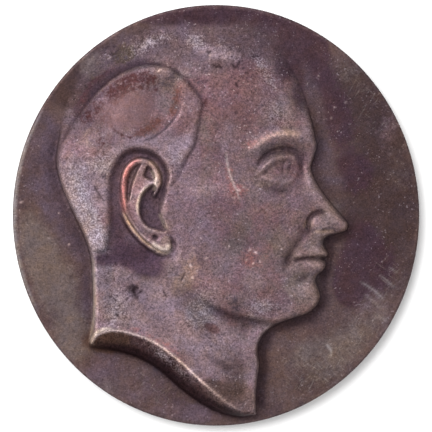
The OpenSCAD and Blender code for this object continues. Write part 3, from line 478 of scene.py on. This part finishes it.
def blur(z, size):
    """Chart smoothed over a size in millimetres."""
    n = int(3*size/CELL)+1
    k = np.exp(-0.5*(np.arange(-n, n+1)*CELL/size)**2)
    k /= k.sum()
    for axis in (0, 1):
        p = np.pad(z, [(n, n) if a == axis else (0, 0) for a in (0, 1)], mode="edge")
        z = sum(f*(p[i:i+z.shape[0]] if axis == 0 else p[:, i:i+z.shape[1]]) for i, f in enumerate(k))
    return z


def grain(seed, size, depth):
    """Smooth random chart of even depth, the same on each run."""
    step = max(int(size/CELL/2), 1)
    rng = np.random.default_rng(seed)
    rows, cols = X.shape[0]//step+3, X.shape[1]//step+3
    rough = rng.standard_normal((rows, cols))
    r = np.arange(X.shape[0])/step
    c = np.arange(X.shape[1])/step
    ri, ci = r.astype(int), c.astype(int)
    rf, cf = (r-ri)[:, None], (c-ci)[None, :]
    z = (rough[ri][:, ci]*(1-rf)*(1-cf)+rough[ri+1][:, ci]*rf*(1-cf)
         + rough[ri][:, ci+1]*(1-rf)*cf+rough[ri+1][:, ci+1]*rf*cf)
    z = blur(z, size*0.45)
    return depth*(z/z.std())


def lump(z, amount, cx, cy, rx, ry, turn=0, sharp=1.0):
    """Soft bump or hollow."""
    w = window([(cx, cy)], 2.6*max(rx, ry))
    c, s = math.cos(math.radians(turn)), math.sin(math.radians(turn))
    u = (X[w]-cx)*c+(Y[w]-cy)*s
    v = -(X[w]-cx)*s+(Y[w]-cy)*c
    z[w] += amount*np.exp(-((u/rx)**2+(v/ry)**2)**sharp)


def stroke(z, amount, width, taper, points):
    """Soft ridge or furrow along a curve, thinning at both ends."""
    reach = 3*width
    d, _, share = near(spline(points), reach)
    thin = np.clip(np.minimum(share, 1-share)/taper, 0, 1)
    # What is left of the bell at its reach is taken off, so that it ends without a step
    rest = 1.234e-4
    z += amount*np.where(d < reach, np.exp(-(d/width)**2)-rest, 0)*thin*(2-thin)


def fold(z, amount, width, reach, taper, points):
    """Step along a curve, on its left side, that dies away with the distance."""
    d, side, share = near(spline(points), 3*reach)
    thin = ease(0, taper, np.minimum(share, 1-share))
    z += amount*np.where(side > 0, ease(0, width, d)*np.exp(-(d/reach)**2), 0)*thin


def carve_head(hair_depth):
    """Heights of face, neck and hair, as if the head had no wall and no ear."""
    total = np.zeros(X.shape)
    z = np.zeros(X.shape)
    for px, py, height in HEIGHTS:
        w = np.exp(-((X-px)**2+(Y-py)**2)/(2*MASS_REACH**2))+1e-12
        total += w
        z += w*height
    z /= total
    for row in LUMPS:
        lump(z, *row)
    for row in STROKES:
        stroke(z, *row)
    for row in FOLDS:
        fold(z, *row)
    z -= EYE_DEPTH*ease(-0.2, 0.35, signed(spline(EYE, 6, True), 1.5))
    # The hair lies on the head as a raised sheet, parted from the skin by a groove
    thick = HAIR_FRONT+HAIR_UPPER_BACK*ease(-4, -22, X)*ease(2, 16, Y)+HAIR_BACK*ease(-8, -20, X)
    thick *= 1-0.5*ease(16, 9, Y)*ease(-15, -9, X)
    z += thick*ease(-0.1, 0.75, hair_depth)
    groove = np.exp(-(hair_depth/0.42)**2)*ease(-13, -6, Y)*(1-0.6*ease(18, 9, Y)*(X > -14))
    z -= HAIR_GROOVE*groove
    return blur(z, 0.22)


def carve_ear(z):
    """Sets the ear on its sunk ground, and gives the share of each and the lines they follow."""
    ground_depth = signed(spline(GROUND, 8, True), 5)
    concha_depth = signed(spline(CONCHA, 8, True), 4)
    ear_depth = signed(spline(EAR, 8, True), 3)
    # The ground is crisp against the hair and fades into the neck
    ground = ease(-0.6, 1.3+3.0*ease(-6, -11, Y), ground_depth)
    z += (GROUND_HEIGHT-z)*ground
    lump(z, 0.55, -11.7, 0.6, 1.3, 2.4, 12)
    # A flat rim, a plane that leans up to the bowl, and three hollows
    ear = EAR_HEIGHT+RIM_RISE*ease(0.98, 0.62, near(spline(HELIX), 3)[0])
    ear += 0.5*np.exp(-np.clip(-concha_depth, 0, None)**2)*ease(-12.6, -14.6, X)
    ear += (EAR_HEIGHT-SCAPHA_DEPTH-ear)*ease(-0.05, 0.45, signed(spline(SCAPHA, 8, True), 2))
    fossa = ease(-0.05, 0.45, signed(spline(FOSSA, 8, True), 2))
    ear += (EAR_HEIGHT-FOSSA_DEPTH-ear)*fossa
    # The groove beside the inner fold, and the notch over the lobe
    stroke(ear, -0.55, 0.32, 0.15, [(-20.9, 2.6), (-20.2, 0.2), (-18.8, -2.2), (-17.0, -4.2), (-15.4, -5.4)])
    lump(ear, -0.6, -14.4, -5.2, 0.75, 0.5, -20, 1.5)
    bowl = ease(-0.05, 0.5, concha_depth)
    ear += (CONCHA_HEIGHT-ear)*bowl
    # The root of the rim runs down into the bowl as a ridge
    root = np.zeros(X.shape)
    stroke(root, 1.0, 0.42, 0.3, [(-13.9, 6.6), (-14.3, 5.4), (-15.0, 4.2)])
    ear += np.clip(EAR_HEIGHT+0.2-ear, 0, None)*root
    rise = ease(-0.05, 0.5, ear_depth)
    z = z*(1-rise)+ear*rise
    proud = rise*(1-np.maximum(bowl, 0.8*fossa))
    return z, ground, rise, proud, [(ground_depth, 1.0, 0.3), (concha_depth, 0.7, 0.4), (ear_depth, 0.7, 0.5)]


def raise_bust(z, depth, cut, low_far, top_far):
    """Rounds the head off into the field, and cuts the neck off along a bevel."""
    # The wall is crisp round the face and the nape, sloping at the forehead and soft over the crown
    soft = np.maximum(ease(20, 36, Y), ease(18.5, 27, Y)*ease(0, 8, X))
    soft = np.maximum(soft, ease(13.5, 22.5, Y)*ease(-14, -24, X))
    wall = NAPE_WALL+(FACE_WALL-NAPE_WALL)*ease(8, 20, X)
    crisp = np.sqrt(1-(1-np.clip(depth/wall, 0, 1))**2)
    slope = FOREHEAD_SLOPE+(CROWN_SLOPE-FOREHEAD_SLOPE)*ease(26, 6, X)
    rolled = ease(0, 1, depth/slope)**0.75
    z = z*(crisp*(1-soft)+rolled*soft)
    lean = CUT_STEP*ease(0, 0.5, low_far)+(CUT_HEIGHT-CUT_STEP)*(low_far/(low_far+top_far+1e-6))**0.8
    z = np.where(cut, lean, z)
    # The field is hollowed a little along the face and the nape
    beside = np.maximum(ease(-33, -27, Y)*(1-0.55*ease(-8, -16, Y)*(X < 0)), ease(8, 10, X)*ease(-46, -42, Y))
    trough = -TROUGH_DEPTH*np.exp(-(np.clip(-depth, 0, None)/3.0)**1.4)*(1-soft)*beside
    return blur(np.where(depth > 0, z, trough), 0.12)


def roughen(z, bust, bevel):
    """Slow waves of the hand-made surface, the skin of the casting, its pits, and the cracks."""
    z += grain(*WAVES)*bust+grain(*RIPPLE)+grain(*SKIN)
    z += bevel*grain(*BEVEL_SKIN)
    rng = np.random.default_rng(PIT_SEED)
    for _ in range(PIT_COUNT):
        size = rng.uniform(0.16, 0.34)
        deep = rng.uniform(0.04, 0.13)
        cx, cy = rng.uniform(-46, 46), rng.uniform(-47, 47)
        lump(z, -deep, cx, cy, size, size*rng.uniform(0.7, 1.4), rng.uniform(0, 180))
    for cx, cy, count, span in PITTED:
        for _ in range(count):
            lump(z, -rng.uniform(0.10, 0.22), cx+rng.normal(0, span), cy+rng.normal(0, span), 0.3, 0.3)
    for strength, width, points in STREAKS["crack"]:
        stroke(z, -CRACK_DEPTH*strength, width, STREAK_TAPER, points)


def placed_masks():
    """Masks of the patches and lines in the tables."""
    masks = {}
    for kind, rows in TARNISH.items():
        tint = np.zeros(X.shape)
        for row in rows:
            lump(tint, *row, sharp=SHARPNESS.get(kind, PATCH_SHARPNESS))
        masks[kind] = np.clip(tint, 0, 1)
    for kind, rows in STREAKS.items():
        line = masks.get(kind, np.zeros(X.shape))
        for strength, width, points in rows:
            one = np.zeros(X.shape)
            stroke(one, strength, width, STREAK_TAPER, points)
            line = np.maximum(line, one)
        masks[kind] = np.clip(line, 0, 1)
    return masks


def sculpt():
    """Heights over the field, the masks that the finish needs, and the lines that the mesh follows."""
    out = spline(PROFILE, 6)
    low = spline(CUT_LOW, 6)
    top = spline(CUT_TOP, 6)
    depth = signed(np.vstack([out, low[1:]]), 16)
    low_far = near(low, 14)[0]
    top_far, top_side, _ = near(top, 14)
    cut = ~inside(np.vstack([out, top[1:], out[:1]])) & (depth > 0)
    hair_depth = signed(spline(HAIR, 6, True), 6)
    z, ground, rise, proud, ear_lines = carve_ear(carve_head(hair_depth))
    z = raise_bust(z, depth, cut, low_far, top_far)
    bust = ease(-0.3, 1.2, depth)
    bevel = blur(cut.astype(float), 0.2)
    roughen(z, bust, bevel)
    marks = np.min([near(spline(points), 2)[0] for *_, points in STREAKS["scratch"]+STREAKS["crack"]], 0)
    # What the mesh is drawn in to: distance, reach, pull
    lines = [(depth, 1.5, 0.55), (hair_depth, 0.9, 0.4), *ear_lines]
    lines += [(top_far*top_side, 0.8, 0.45), (marks, 1.3, 0.6)]

    masks = placed_masks()
    fine = z-blur(z, 0.35)
    wide = z-blur(z, 1.8)
    # Ridges are rubbed bright, but not on the painted shadow line at the base of walls, at the back of the
    # hair or on the bevel
    ridge = np.clip((fine-0.03)/0.18, 0, 1)
    ridge *= 1-np.clip(1.5*masks["foot"], 0, 1)
    ridge *= 1-0.8*ease(9, 14, Y)*ease(3, 1, np.abs(depth))*(X < -30)
    ridge *= 1-0.8*np.maximum(bevel, masks["bright"])
    # Hollows are darkened, partly as patina kept in them and partly as painted shade, but less so in the
    # field, round the ear, on the bevel and along the hair
    recess = np.clip(np.clip(-fine-0.02, 0, None)/0.20+np.clip(-wide, 0, None)/0.6, 0, 1)
    recess *= 1-0.8*ease(3.0, 1.5, low_far)*(depth < 0)
    recess *= (1-0.8*ground)*(1-0.6*(depth < 0)*np.maximum(ease(-6, 2, Y), X < 0))
    recess *= 1-0.5*bevel
    along_hair = ease(2, 0.6, np.abs(hair_depth))*ease(18, 24, Y)
    recess *= 1-0.5*along_hair*np.maximum(ease(-18, -14, X), ease(-29, -32, X))
    # High lightens raised forms, partly as rubbed wear and partly as a painted highlight
    masks.update(bust=bust, bevel=bevel, ridge=ridge, recess=recess, high=np.clip(wide/0.5, 0, 1)*bust)
    masks["ground"] = ground*(1-proud)
    masks["shadow"] *= 1-rise
    masks["silver"] *= bust
    return z, masks, lines


def pick(chart, x, y):
    """Reads a chart between its cells."""
    c = np.clip((x-CHART_X[0])/CELL, 0, len(CHART_X)-1.001)
    r = np.clip((y-CHART_Y[0])/CELL, 0, len(CHART_Y)-1.001)
    ci, ri = c.astype(int), r.astype(int)
    cf, rf = c-ci, r-ri
    return (chart[ri, ci]*(1-rf)*(1-cf)+chart[ri, ci+1]*(1-rf)*cf
            + chart[ri+1, ci]*rf*(1-cf)+chart[ri+1, ci+1]*rf*cf)


def spread(t, low, high, dense):
    """Moves evenly spaced places closer together where the carving is fine."""
    s = np.linspace(-1, 1, 2001)
    weight = 0.55+0.45*(ease(low-0.06, low, s)-ease(high, high+0.06, s))
    for a, b, w in dense:
        weight += w*(ease(a-0.08, a, s)-ease(b, b+0.08, s))
    run = np.concatenate([[0], np.cumsum((weight[1:]+weight[:-1])/2)])
    return np.interp((t+1)/2*run[-1], run, s)


def draw_in(x, y, far, reach, pull):
    """Moves places towards a line of the chart, so that the mesh is finest and cleanest along it."""
    gy, gx = np.gradient(far, CELL)
    gx, gy, d = pick(gx, x, y), pick(gy, x, y), pick(far, x, y)
    off_rim = ease(0.995, 0.97, np.hypot(x/HALF_WIDTH, y/HALF_HEIGHT))
    step = -d*pull*np.clip(1-(d/reach)**2, 0, 1)**2*off_rim/(np.hypot(gx, gy)+1e-6)
    return x+step*gx, y+step*gy


def lay_face(bm, heights, lines):
    """Grid of the front, fitted to the oval and raised to the relief."""
    bmesh.ops.create_grid(bm, x_segments=MESH_CELLS, y_segments=MESH_CELLS, size=1)
    co = np.array([v.co[:] for v in bm.verts])
    u = spread(co[:, 0], -0.80, 0.70, [(-0.50, -0.18, 0.45), (0.22, 0.66, 0.45)])
    v = spread(co[:, 1], -0.97, 0.96, [(-0.50, 0.42, 0.45)])
    x = FLAT_WIDTH*u*np.sqrt(1-v*v/2)
    y = FLAT_HEIGHT*v*np.sqrt(1-u*u/2)
    for far, reach, pull in lines:
        x, y = draw_in(x, y, far, reach, pull)
    z = THICKNESS+pick(heights, x, y)
    for vert, px, py, pz in zip(bm.verts, x, y, z):
        vert.co = (px, py, pz)


def wrap_edge(bm):
    """Extrudes the edge ring by ring: round the worn corner, down the side and round the back."""
    front = [math.radians(a) for a in (22.5, 45, 67.5, 90)]
    back = [math.radians(a) for a in (0, 30, 60, 90)]
    # How far out from the flat face, and how high, each ring lies
    steps = [(EDGE_RADIUS*math.sin(a), THICKNESS-EDGE_RADIUS*(1-math.cos(a))) for a in front]
    steps += [(EDGE_RADIUS, 0.5*THICKNESS)]
    steps += [(EDGE_RADIUS*math.cos(a), EDGE_RADIUS*(1-math.sin(a))) for a in back]
    steps += [(-3.0, 0.0), (-12.0, 0.0)]
    ring = [edge for edge in bm.edges if edge.is_boundary]
    for out, level in steps:
        made = bmesh.ops.extrude_edge_only(bm, edges=ring)["geom"]
        ring = [g for g in made if isinstance(g, bmesh.types.BMEdge)]
        for vert in [g for g in made if isinstance(g, bmesh.types.BMVert)]:
            angle = math.atan2(vert.co.y/HALF_HEIGHT, vert.co.x/HALF_WIDTH)
            nx, ny = math.cos(angle)/HALF_WIDTH, math.sin(angle)/HALF_HEIGHT
            size = math.hypot(nx, ny)
            vert.co.x = FLAT_WIDTH*math.cos(angle)+out*nx/size
            vert.co.y = FLAT_HEIGHT*math.sin(angle)+out*ny/size
            vert.co.z = level
    bmesh.ops.contextual_create(bm, geom=ring)


def store_masks(mesh, masks):
    """Stores the masks where the material reads them, with the rim rubbed lighter and darkened along its
    outermost line.
    """
    place = np.empty(len(mesh.vertices)*3)
    mesh.vertices.foreach_get("co", place)
    x, y, z = place.reshape(-1, 3).T/MM
    front = ease(THICKNESS-1.2, THICKNESS-0.2, z)
    off = np.hypot(x/HALF_WIDTH, y/HALF_HEIGHT)
    rim = {"ridge": 0.25*ease(0.984, 0.992, off)*ease(0.4, 3.0, z), "recess": 0.6*ease(0.990, 0.996, off)}
    for name in sorted(masks):
        value = np.maximum(pick(masks[name], x, y)*front, rim.get(name, 0))
        mesh.attributes.new(name, "FLOAT", "POINT").data.foreach_set("value", value.astype(np.float32))


def cast_medal():
    """The whole medal as one piece: disc, bust and the masks for its patina."""
    heights, masks, lines = sculpt()
    bm = bmesh.new()
    lay_face(bm, heights, lines)
    wrap_edge(bm)
    bmesh.ops.recalc_face_normals(bm, faces=bm.faces)
    bmesh.ops.scale(bm, vec=(MM, MM, MM), verts=bm.verts)
    mesh = bpy.data.meshes.new("cast_medal")
    bm.to_mesh(mesh)
    bm.free()
    mesh.polygons.foreach_set("use_smooth", [True]*len(mesh.polygons))
    store_masks(mesh, masks)
    piece = bpy.data.objects.new("cast_medal", mesh)
    bpy.context.collection.objects.link(piece)
    return piece


class Nodes:
    """Short words for wiring a material."""

    def __init__(self, name):
        self.material = bpy.data.materials.new(name)
        self.material.use_nodes = True
        self.tree = self.material.node_tree
        self.tree.nodes.clear()
        self.shader = self.add("ShaderNodeBsdfPrincipled")
        self.link(self.shader.outputs[0], self.add("ShaderNodeOutputMaterial").inputs[0])
        self.place = self.add("ShaderNodeTexCoord").outputs["Object"]

    def add(self, kind, numbers=(), **settings):
        """Adds a node with its numbers and settings."""
        node = self.tree.nodes.new(kind)
        for key, value in settings.items():
            setattr(node, key, value)
        for key, value in dict(numbers).items():
            node.inputs[key].default_value = value
        return node

    def link(self, a, b):
        self.tree.links.new(a, b)

    def feed(self, socket, value):
        """Sets an input to a number, or wires it to an output."""
        if isinstance(value, (int, float)):
            socket.default_value = value
        else:
            self.link(value, socket)

    def noise(self, size, detail, rough, shift=(0, 0, 0)):
        """Noise with patches about size millimetres across."""
        mapping = self.add("ShaderNodeMapping", {"Scale": (1/(size*MM),)*3, "Location": shift})
        return self.cloud(mapping, detail, rough)

    def hatch(self, length, width, turn):
        """Noise drawn out into fine lines that run at an angle."""
        numbers = {"Scale": (length*MM, width*MM, width*MM), "Rotation": (0, 0, math.radians(turn))}
        return self.cloud(self.add("ShaderNodeMapping", numbers, vector_type="TEXTURE"), 1, 0.5)

    def cloud(self, mapping, detail, rough):
        """Noise over the places that a mapping gives."""
        self.link(self.place, mapping.inputs[0])
        node = self.add("ShaderNodeTexNoise", {"Scale": 1.0, "Detail": detail, "Roughness": rough})
        self.link(mapping.outputs[0], node.inputs["Vector"])
        return node.outputs["Fac"]

    def mask(self, name):
        return self.add("ShaderNodeAttribute", attribute_name=name).outputs["Fac"]

    def math(self, kind, a, b, c=None, clamp=False):
        node = self.add("ShaderNodeMath", operation=kind, use_clamp=clamp)
        self.feed(node.inputs[0], a)
        self.feed(node.inputs[1], b)
        if c is not None:
            self.feed(node.inputs[2], c)
        return node.outputs[0]

    def sway(self, value, kind, amount, clamp=False):
        """Raises or lowers a value wherever a mask is."""
        return self.math("MULTIPLY_ADD", self.mask(kind), amount, value, clamp)

    def stir(self, value, *rows):
        """Adds noises to a value, each about its middle: rows of noise and strength."""
        for noise, strength in rows:
            value = self.math("MULTIPLY_ADD", self.math("SUBTRACT", noise, 0.5), strength, value)
        return value

    def band(self, value, low, high, out_low=0.0, out_high=1.0):
        """Turns a stretch of values smoothly into another stretch."""
        numbers = {"From Min": low, "From Max": high, "To Min": out_low, "To Max": out_high}
        node = self.add("ShaderNodeMapRange", numbers, interpolation_type="SMOOTHSTEP")
        self.link(value, node.inputs["Value"])
        return node.outputs[0]

    def mix(self, share, a, b, kind="MIX"):
        node = self.add("ShaderNodeMix", data_type="RGBA", blend_type=kind)
        self.feed(node.inputs["Factor"], share)
        for socket, value in ((node.inputs[6], a), (node.inputs[7], b)):
            if isinstance(value, tuple):
                socket.default_value = (*value, 1.0)
            else:
                self.link(value, socket)
        return node.outputs[2]

    def bump(self, height, depth, under):
        """Fine relief of a depth in millimetres, over another if there is one."""
        node = self.add("ShaderNodeBump", {"Strength": 1.0, "Distance": depth*MM})
        self.link(height, node.inputs["Height"])
        if under is not None:
            self.link(under, node.inputs["Normal"])
        return node.outputs[0]


def tone(r, g, b):
    """Colour as the eye reads it, 0 to 255, for a shader."""
    return tuple((c/255/12.92) if c/255 <= 0.04045 else ((c/255+0.055)/1.055)**2.4 for c in (r, g, b))


def patina():
    """Brown-purple patina on cast bronze, mottled, greyer on the bust and rubbed bright on its edges, with
    painted shade in hollows and under walls and painted highlights on some edges.
    """
    n = Nodes("bronze_patina")
    bust = n.mask("bust")
    cloud = n.noise(14, 4, 0.55)
    patch = n.noise(4.5, 5, 0.62, (3, 1, 0))
    dust = n.noise(1.5, 3, 0.65, (1, 9, 0))
    grit = n.noise(0.75, 2, 0.6, (7, 2, 0))
    grains = n.noise(0.36, 1, 0.5, (2, 5, 1))
    pits = n.noise(0.55, 2, 0.6, (4, 4, 2))

    def coat(colour, kind, strength, rgb):
        """Lays a colour wherever a mask is."""
        return n.mix(n.math("MULTIPLY", n.mask(kind), strength), colour, tone(*rgb))

    def tarnish(colour, kind, strength, torn, rgb, low=0.25, high=0.80):
        """Lays a listed tint, its edge broken up by the mottling."""
        edge = n.stir(n.mask(kind), (patch, 0.9), (dust, torn), (grit, torn))
        share = n.math("MULTIPLY", n.band(edge, low, high, 0, strength), n.band(n.mask(kind), 0.02, 0.25))
        return n.mix(share, colour, tone(*rgb))

    # Mottled ground of the field and the head, and the dark bevel
    field = n.mix(n.band(cloud, 0.38, 0.62), tone(76, 60, 61), tone(84, 67, 65))
    head = n.mix(n.band(cloud, 0.36, 0.64), tone(109, 86, 92), tone(102, 84, 87))
    head = n.mix(n.band(n.noise(7, 4, 0.6, (5, 5, 5)), 0.42, 0.62, 0, 0.45), head, tone(98, 85, 80))
    head = n.mix(n.band(n.noise(6, 4, 0.6, (8, 1, 3)), 0.46, 0.64, 0, 0.4), head, tone(116, 82, 89))
    colour = n.mix(bust, field, head)
    colour = coat(colour, "bevel", 0.95, (48, 27, 26))
    for row in UNDER_TINTS:
        colour = tarnish(colour, *row)
    frost = n.math("MULTIPLY", n.band(grains, 0.50, 0.62, 0, 0.45), n.mask("silver"))
    colour = n.mix(frost, colour, tone(176, 166, 170))
    colour = tarnish(colour, "steel", 0.75, 0.5, (86, 77, 85))
    # Raised forms are lightened, partly as rubbed wear and partly as a painted highlight
    colour = coat(colour, "high", 0.25, (146, 122, 126))
    # Small dark pits, and bright specks between them
    pitted = n.sway(n.sway(1.0, "pocked", 0.9), "calm", -0.4)
    colour = n.mix(n.math("MULTIPLY", n.band(pits, 0.56, 0.68, 0, 0.45), pitted), colour, tone(62, 48, 54))
    glint = n.math("MULTIPLY", n.band(pits, 0.38, 0.30, 0, 0.5), n.band(patch, 0.38, 0.60))
    keen = n.sway(n.sway(n.band(bust, 0, 1, 0.5, 1), "bevel", -0.6), "calm", -0.5, clamp=True)
    colour = n.mix(n.math("MULTIPLY", glint, keen), colour, tone(176, 160, 164))
    colour = coat(colour, "ground", 0.94, (79, 62, 70))
    for row in OVER_TINTS:
        colour = tarnish(colour, *row)
    for row in COATS:
        colour = coat(colour, *row)
    # Rubbed ridges and lines, painted highlights on edges, scratches, hatching and flecks
    rub = n.math("MULTIPLY", n.mask("ridge"), n.band(dust, 0.35, 0.65, 0.25, 0.9), clamp=True)
    colour = n.mix(n.math("MULTIPLY", rub, 0.40), colour, tone(190, 164, 158))
    rubbed_and_lit = {}
    for kind, high, least, most, rgb in RUBBED_AND_LIT:
        rubbed_and_lit[kind] = n.math("MULTIPLY", n.mask(kind), n.band(dust, 0.25, high, least, most))
        colour = n.mix(rubbed_and_lit[kind], colour, tone(*rgb))
    colour = n.mix(n.mask("scratch"), colour, tone(176, 166, 162))
    for length, width, turn in HATCHES:
        lines = n.band(n.hatch(length, width, turn), 0.62, 0.74, 0, 0.15)
        colour = n.mix(n.math("MULTIPLY", lines, n.mask("scuffed")), colour, tone(176, 166, 158))
    colour = coat(colour, "fleck", 0.85, (208, 182, 178))
    # Fine grain, light and dark, and a drift of the hue from warm to cool
    shade = n.stir(0.0, (grains, 1.5), (grit, 1.0), (dust, 0.6))
    lively = n.sway(n.sway(n.band(bust, 0, 1, 0.7, 1.0), "bevel", 0.45), "dusty", -0.45)
    colour = n.mix(1.0, colour, n.math("MULTIPLY_ADD", shade, lively, 1.0), "MULTIPLY")
    hue = n.math("MULTIPLY_ADD", n.noise(1.8, 2, 0.6, (6, 3, 8)), 0.5, n.noise(6.5, 3, 0.6, (9, 7, 1)))
    hue = n.mix(n.band(hue, 0.50, 1.0), (1.05, 0.99, 0.91), (0.96, 1.00, 1.11))
    n.link(n.mix(1.0, colour, hue, "MULTIPLY"), n.shader.inputs["Base Color"])

    metal = n.math("MULTIPLY_ADD", rubbed_and_lit["copper"], 0.2, 0.75)
    n.link(n.math("MULTIPLY_ADD", rub, 0.2, metal, clamp=True), n.shader.inputs["Metallic"])
    bare = n.math("ADD", rub, rubbed_and_lit["copper"])
    rough = n.math("SUBTRACT", n.band(patch, 0.3, 0.7, 0.68, 0.56), n.math("MULTIPLY", bare, 0.10))
    n.link(n.sway(rough, "recess", 0.15, clamp=True), n.shader.inputs["Roughness"])
    n.shader.inputs["Specular IOR Level"].default_value = 0.10
    skin = None
    for noise, depth in ((grains, 0.035), (grit, 0.05), (dust, 0.06)):
        skin = n.bump(noise, depth, skin)
    n.link(skin, n.shader.inputs["Normal"])
    return n.material


def lay_table():
    """White table for the picture only."""
    bm = bmesh.new()
    bmesh.ops.create_grid(bm, x_segments=1, y_segments=1, size=TABLE_HALF)
    mesh = bpy.data.meshes.new("table")
    bm.to_mesh(mesh)
    bm.free()
    white = Nodes("table_white")
    white.shader.inputs["Base Color"].default_value = (0.93, 0.93, 0.93, 1)
    white.shader.inputs["Roughness"].default_value = 0.9
    mesh.materials.append(white.material)
    floor = bpy.data.objects.new("table", mesh)
    bpy.context.collection.objects.link(floor)
    return floor


def white_world():
    """White surroundings, brighter all around than straight above."""
    world = bpy.data.worlds.new("studio")
    world.use_nodes = True
    nodes, links = world.node_tree.nodes, world.node_tree.links
    nodes["Background"].inputs[0].default_value = (1, 1, 1, 1)
    sky = nodes.new("ShaderNodeTexCoord")
    height = nodes.new("ShaderNodeSeparateXYZ")
    glow = nodes.new("ShaderNodeMapRange")
    numbers = {"From Min": 0.3, "From Max": 1.0, "To Min": GLOW_AROUND, "To Max": GLOW_ABOVE}
    for name, value in numbers.items():
        glow.inputs[name].default_value = value
    links.new(sky.outputs["Generated"], height.inputs[0])
    links.new(height.outputs["Z"], glow.inputs["Value"])
    links.new(glow.outputs[0], nodes["Background"].inputs[1])
    return world


def key_light():
    """Soft light from the upper left, aimed at the medal."""
    data = bpy.data.lights.new("key", "AREA")
    data.shape = "DISK"
    data.size = KEY_SIZE
    data.energy = KEY_POWER
    light = bpy.data.objects.new("key", data)
    bpy.context.collection.objects.link(light)
    light.location = KEY_PLACE
    light.rotation_euler = (-Vector(KEY_PLACE)).to_track_quat("-Z", "Y").to_euler()


def camera_above():
    """Camera whose picture is PICTURE_WIDTH wide at the level of the field."""
    data = bpy.data.cameras.new("camera")
    data.sensor_width = SENSOR_WIDTH
    data.lens = SENSOR_WIDTH*(CAMERA_PLACE[2]-THICKNESS*MM)/PICTURE_WIDTH
    data.clip_end = CAMERA_SIGHT
    camera = bpy.data.objects.new("camera", data)
    bpy.context.collection.objects.link(camera)
    camera.location = CAMERA_PLACE
    return camera


medal = cast_medal()
medal.data.materials.append(patina())
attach(medal, "root")
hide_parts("medal")
floor = lay_table()

scene = bpy.context.scene
scene.world = white_world()
scene.view_settings.view_transform = "Standard"
key_light()
scene.camera = camera_above()
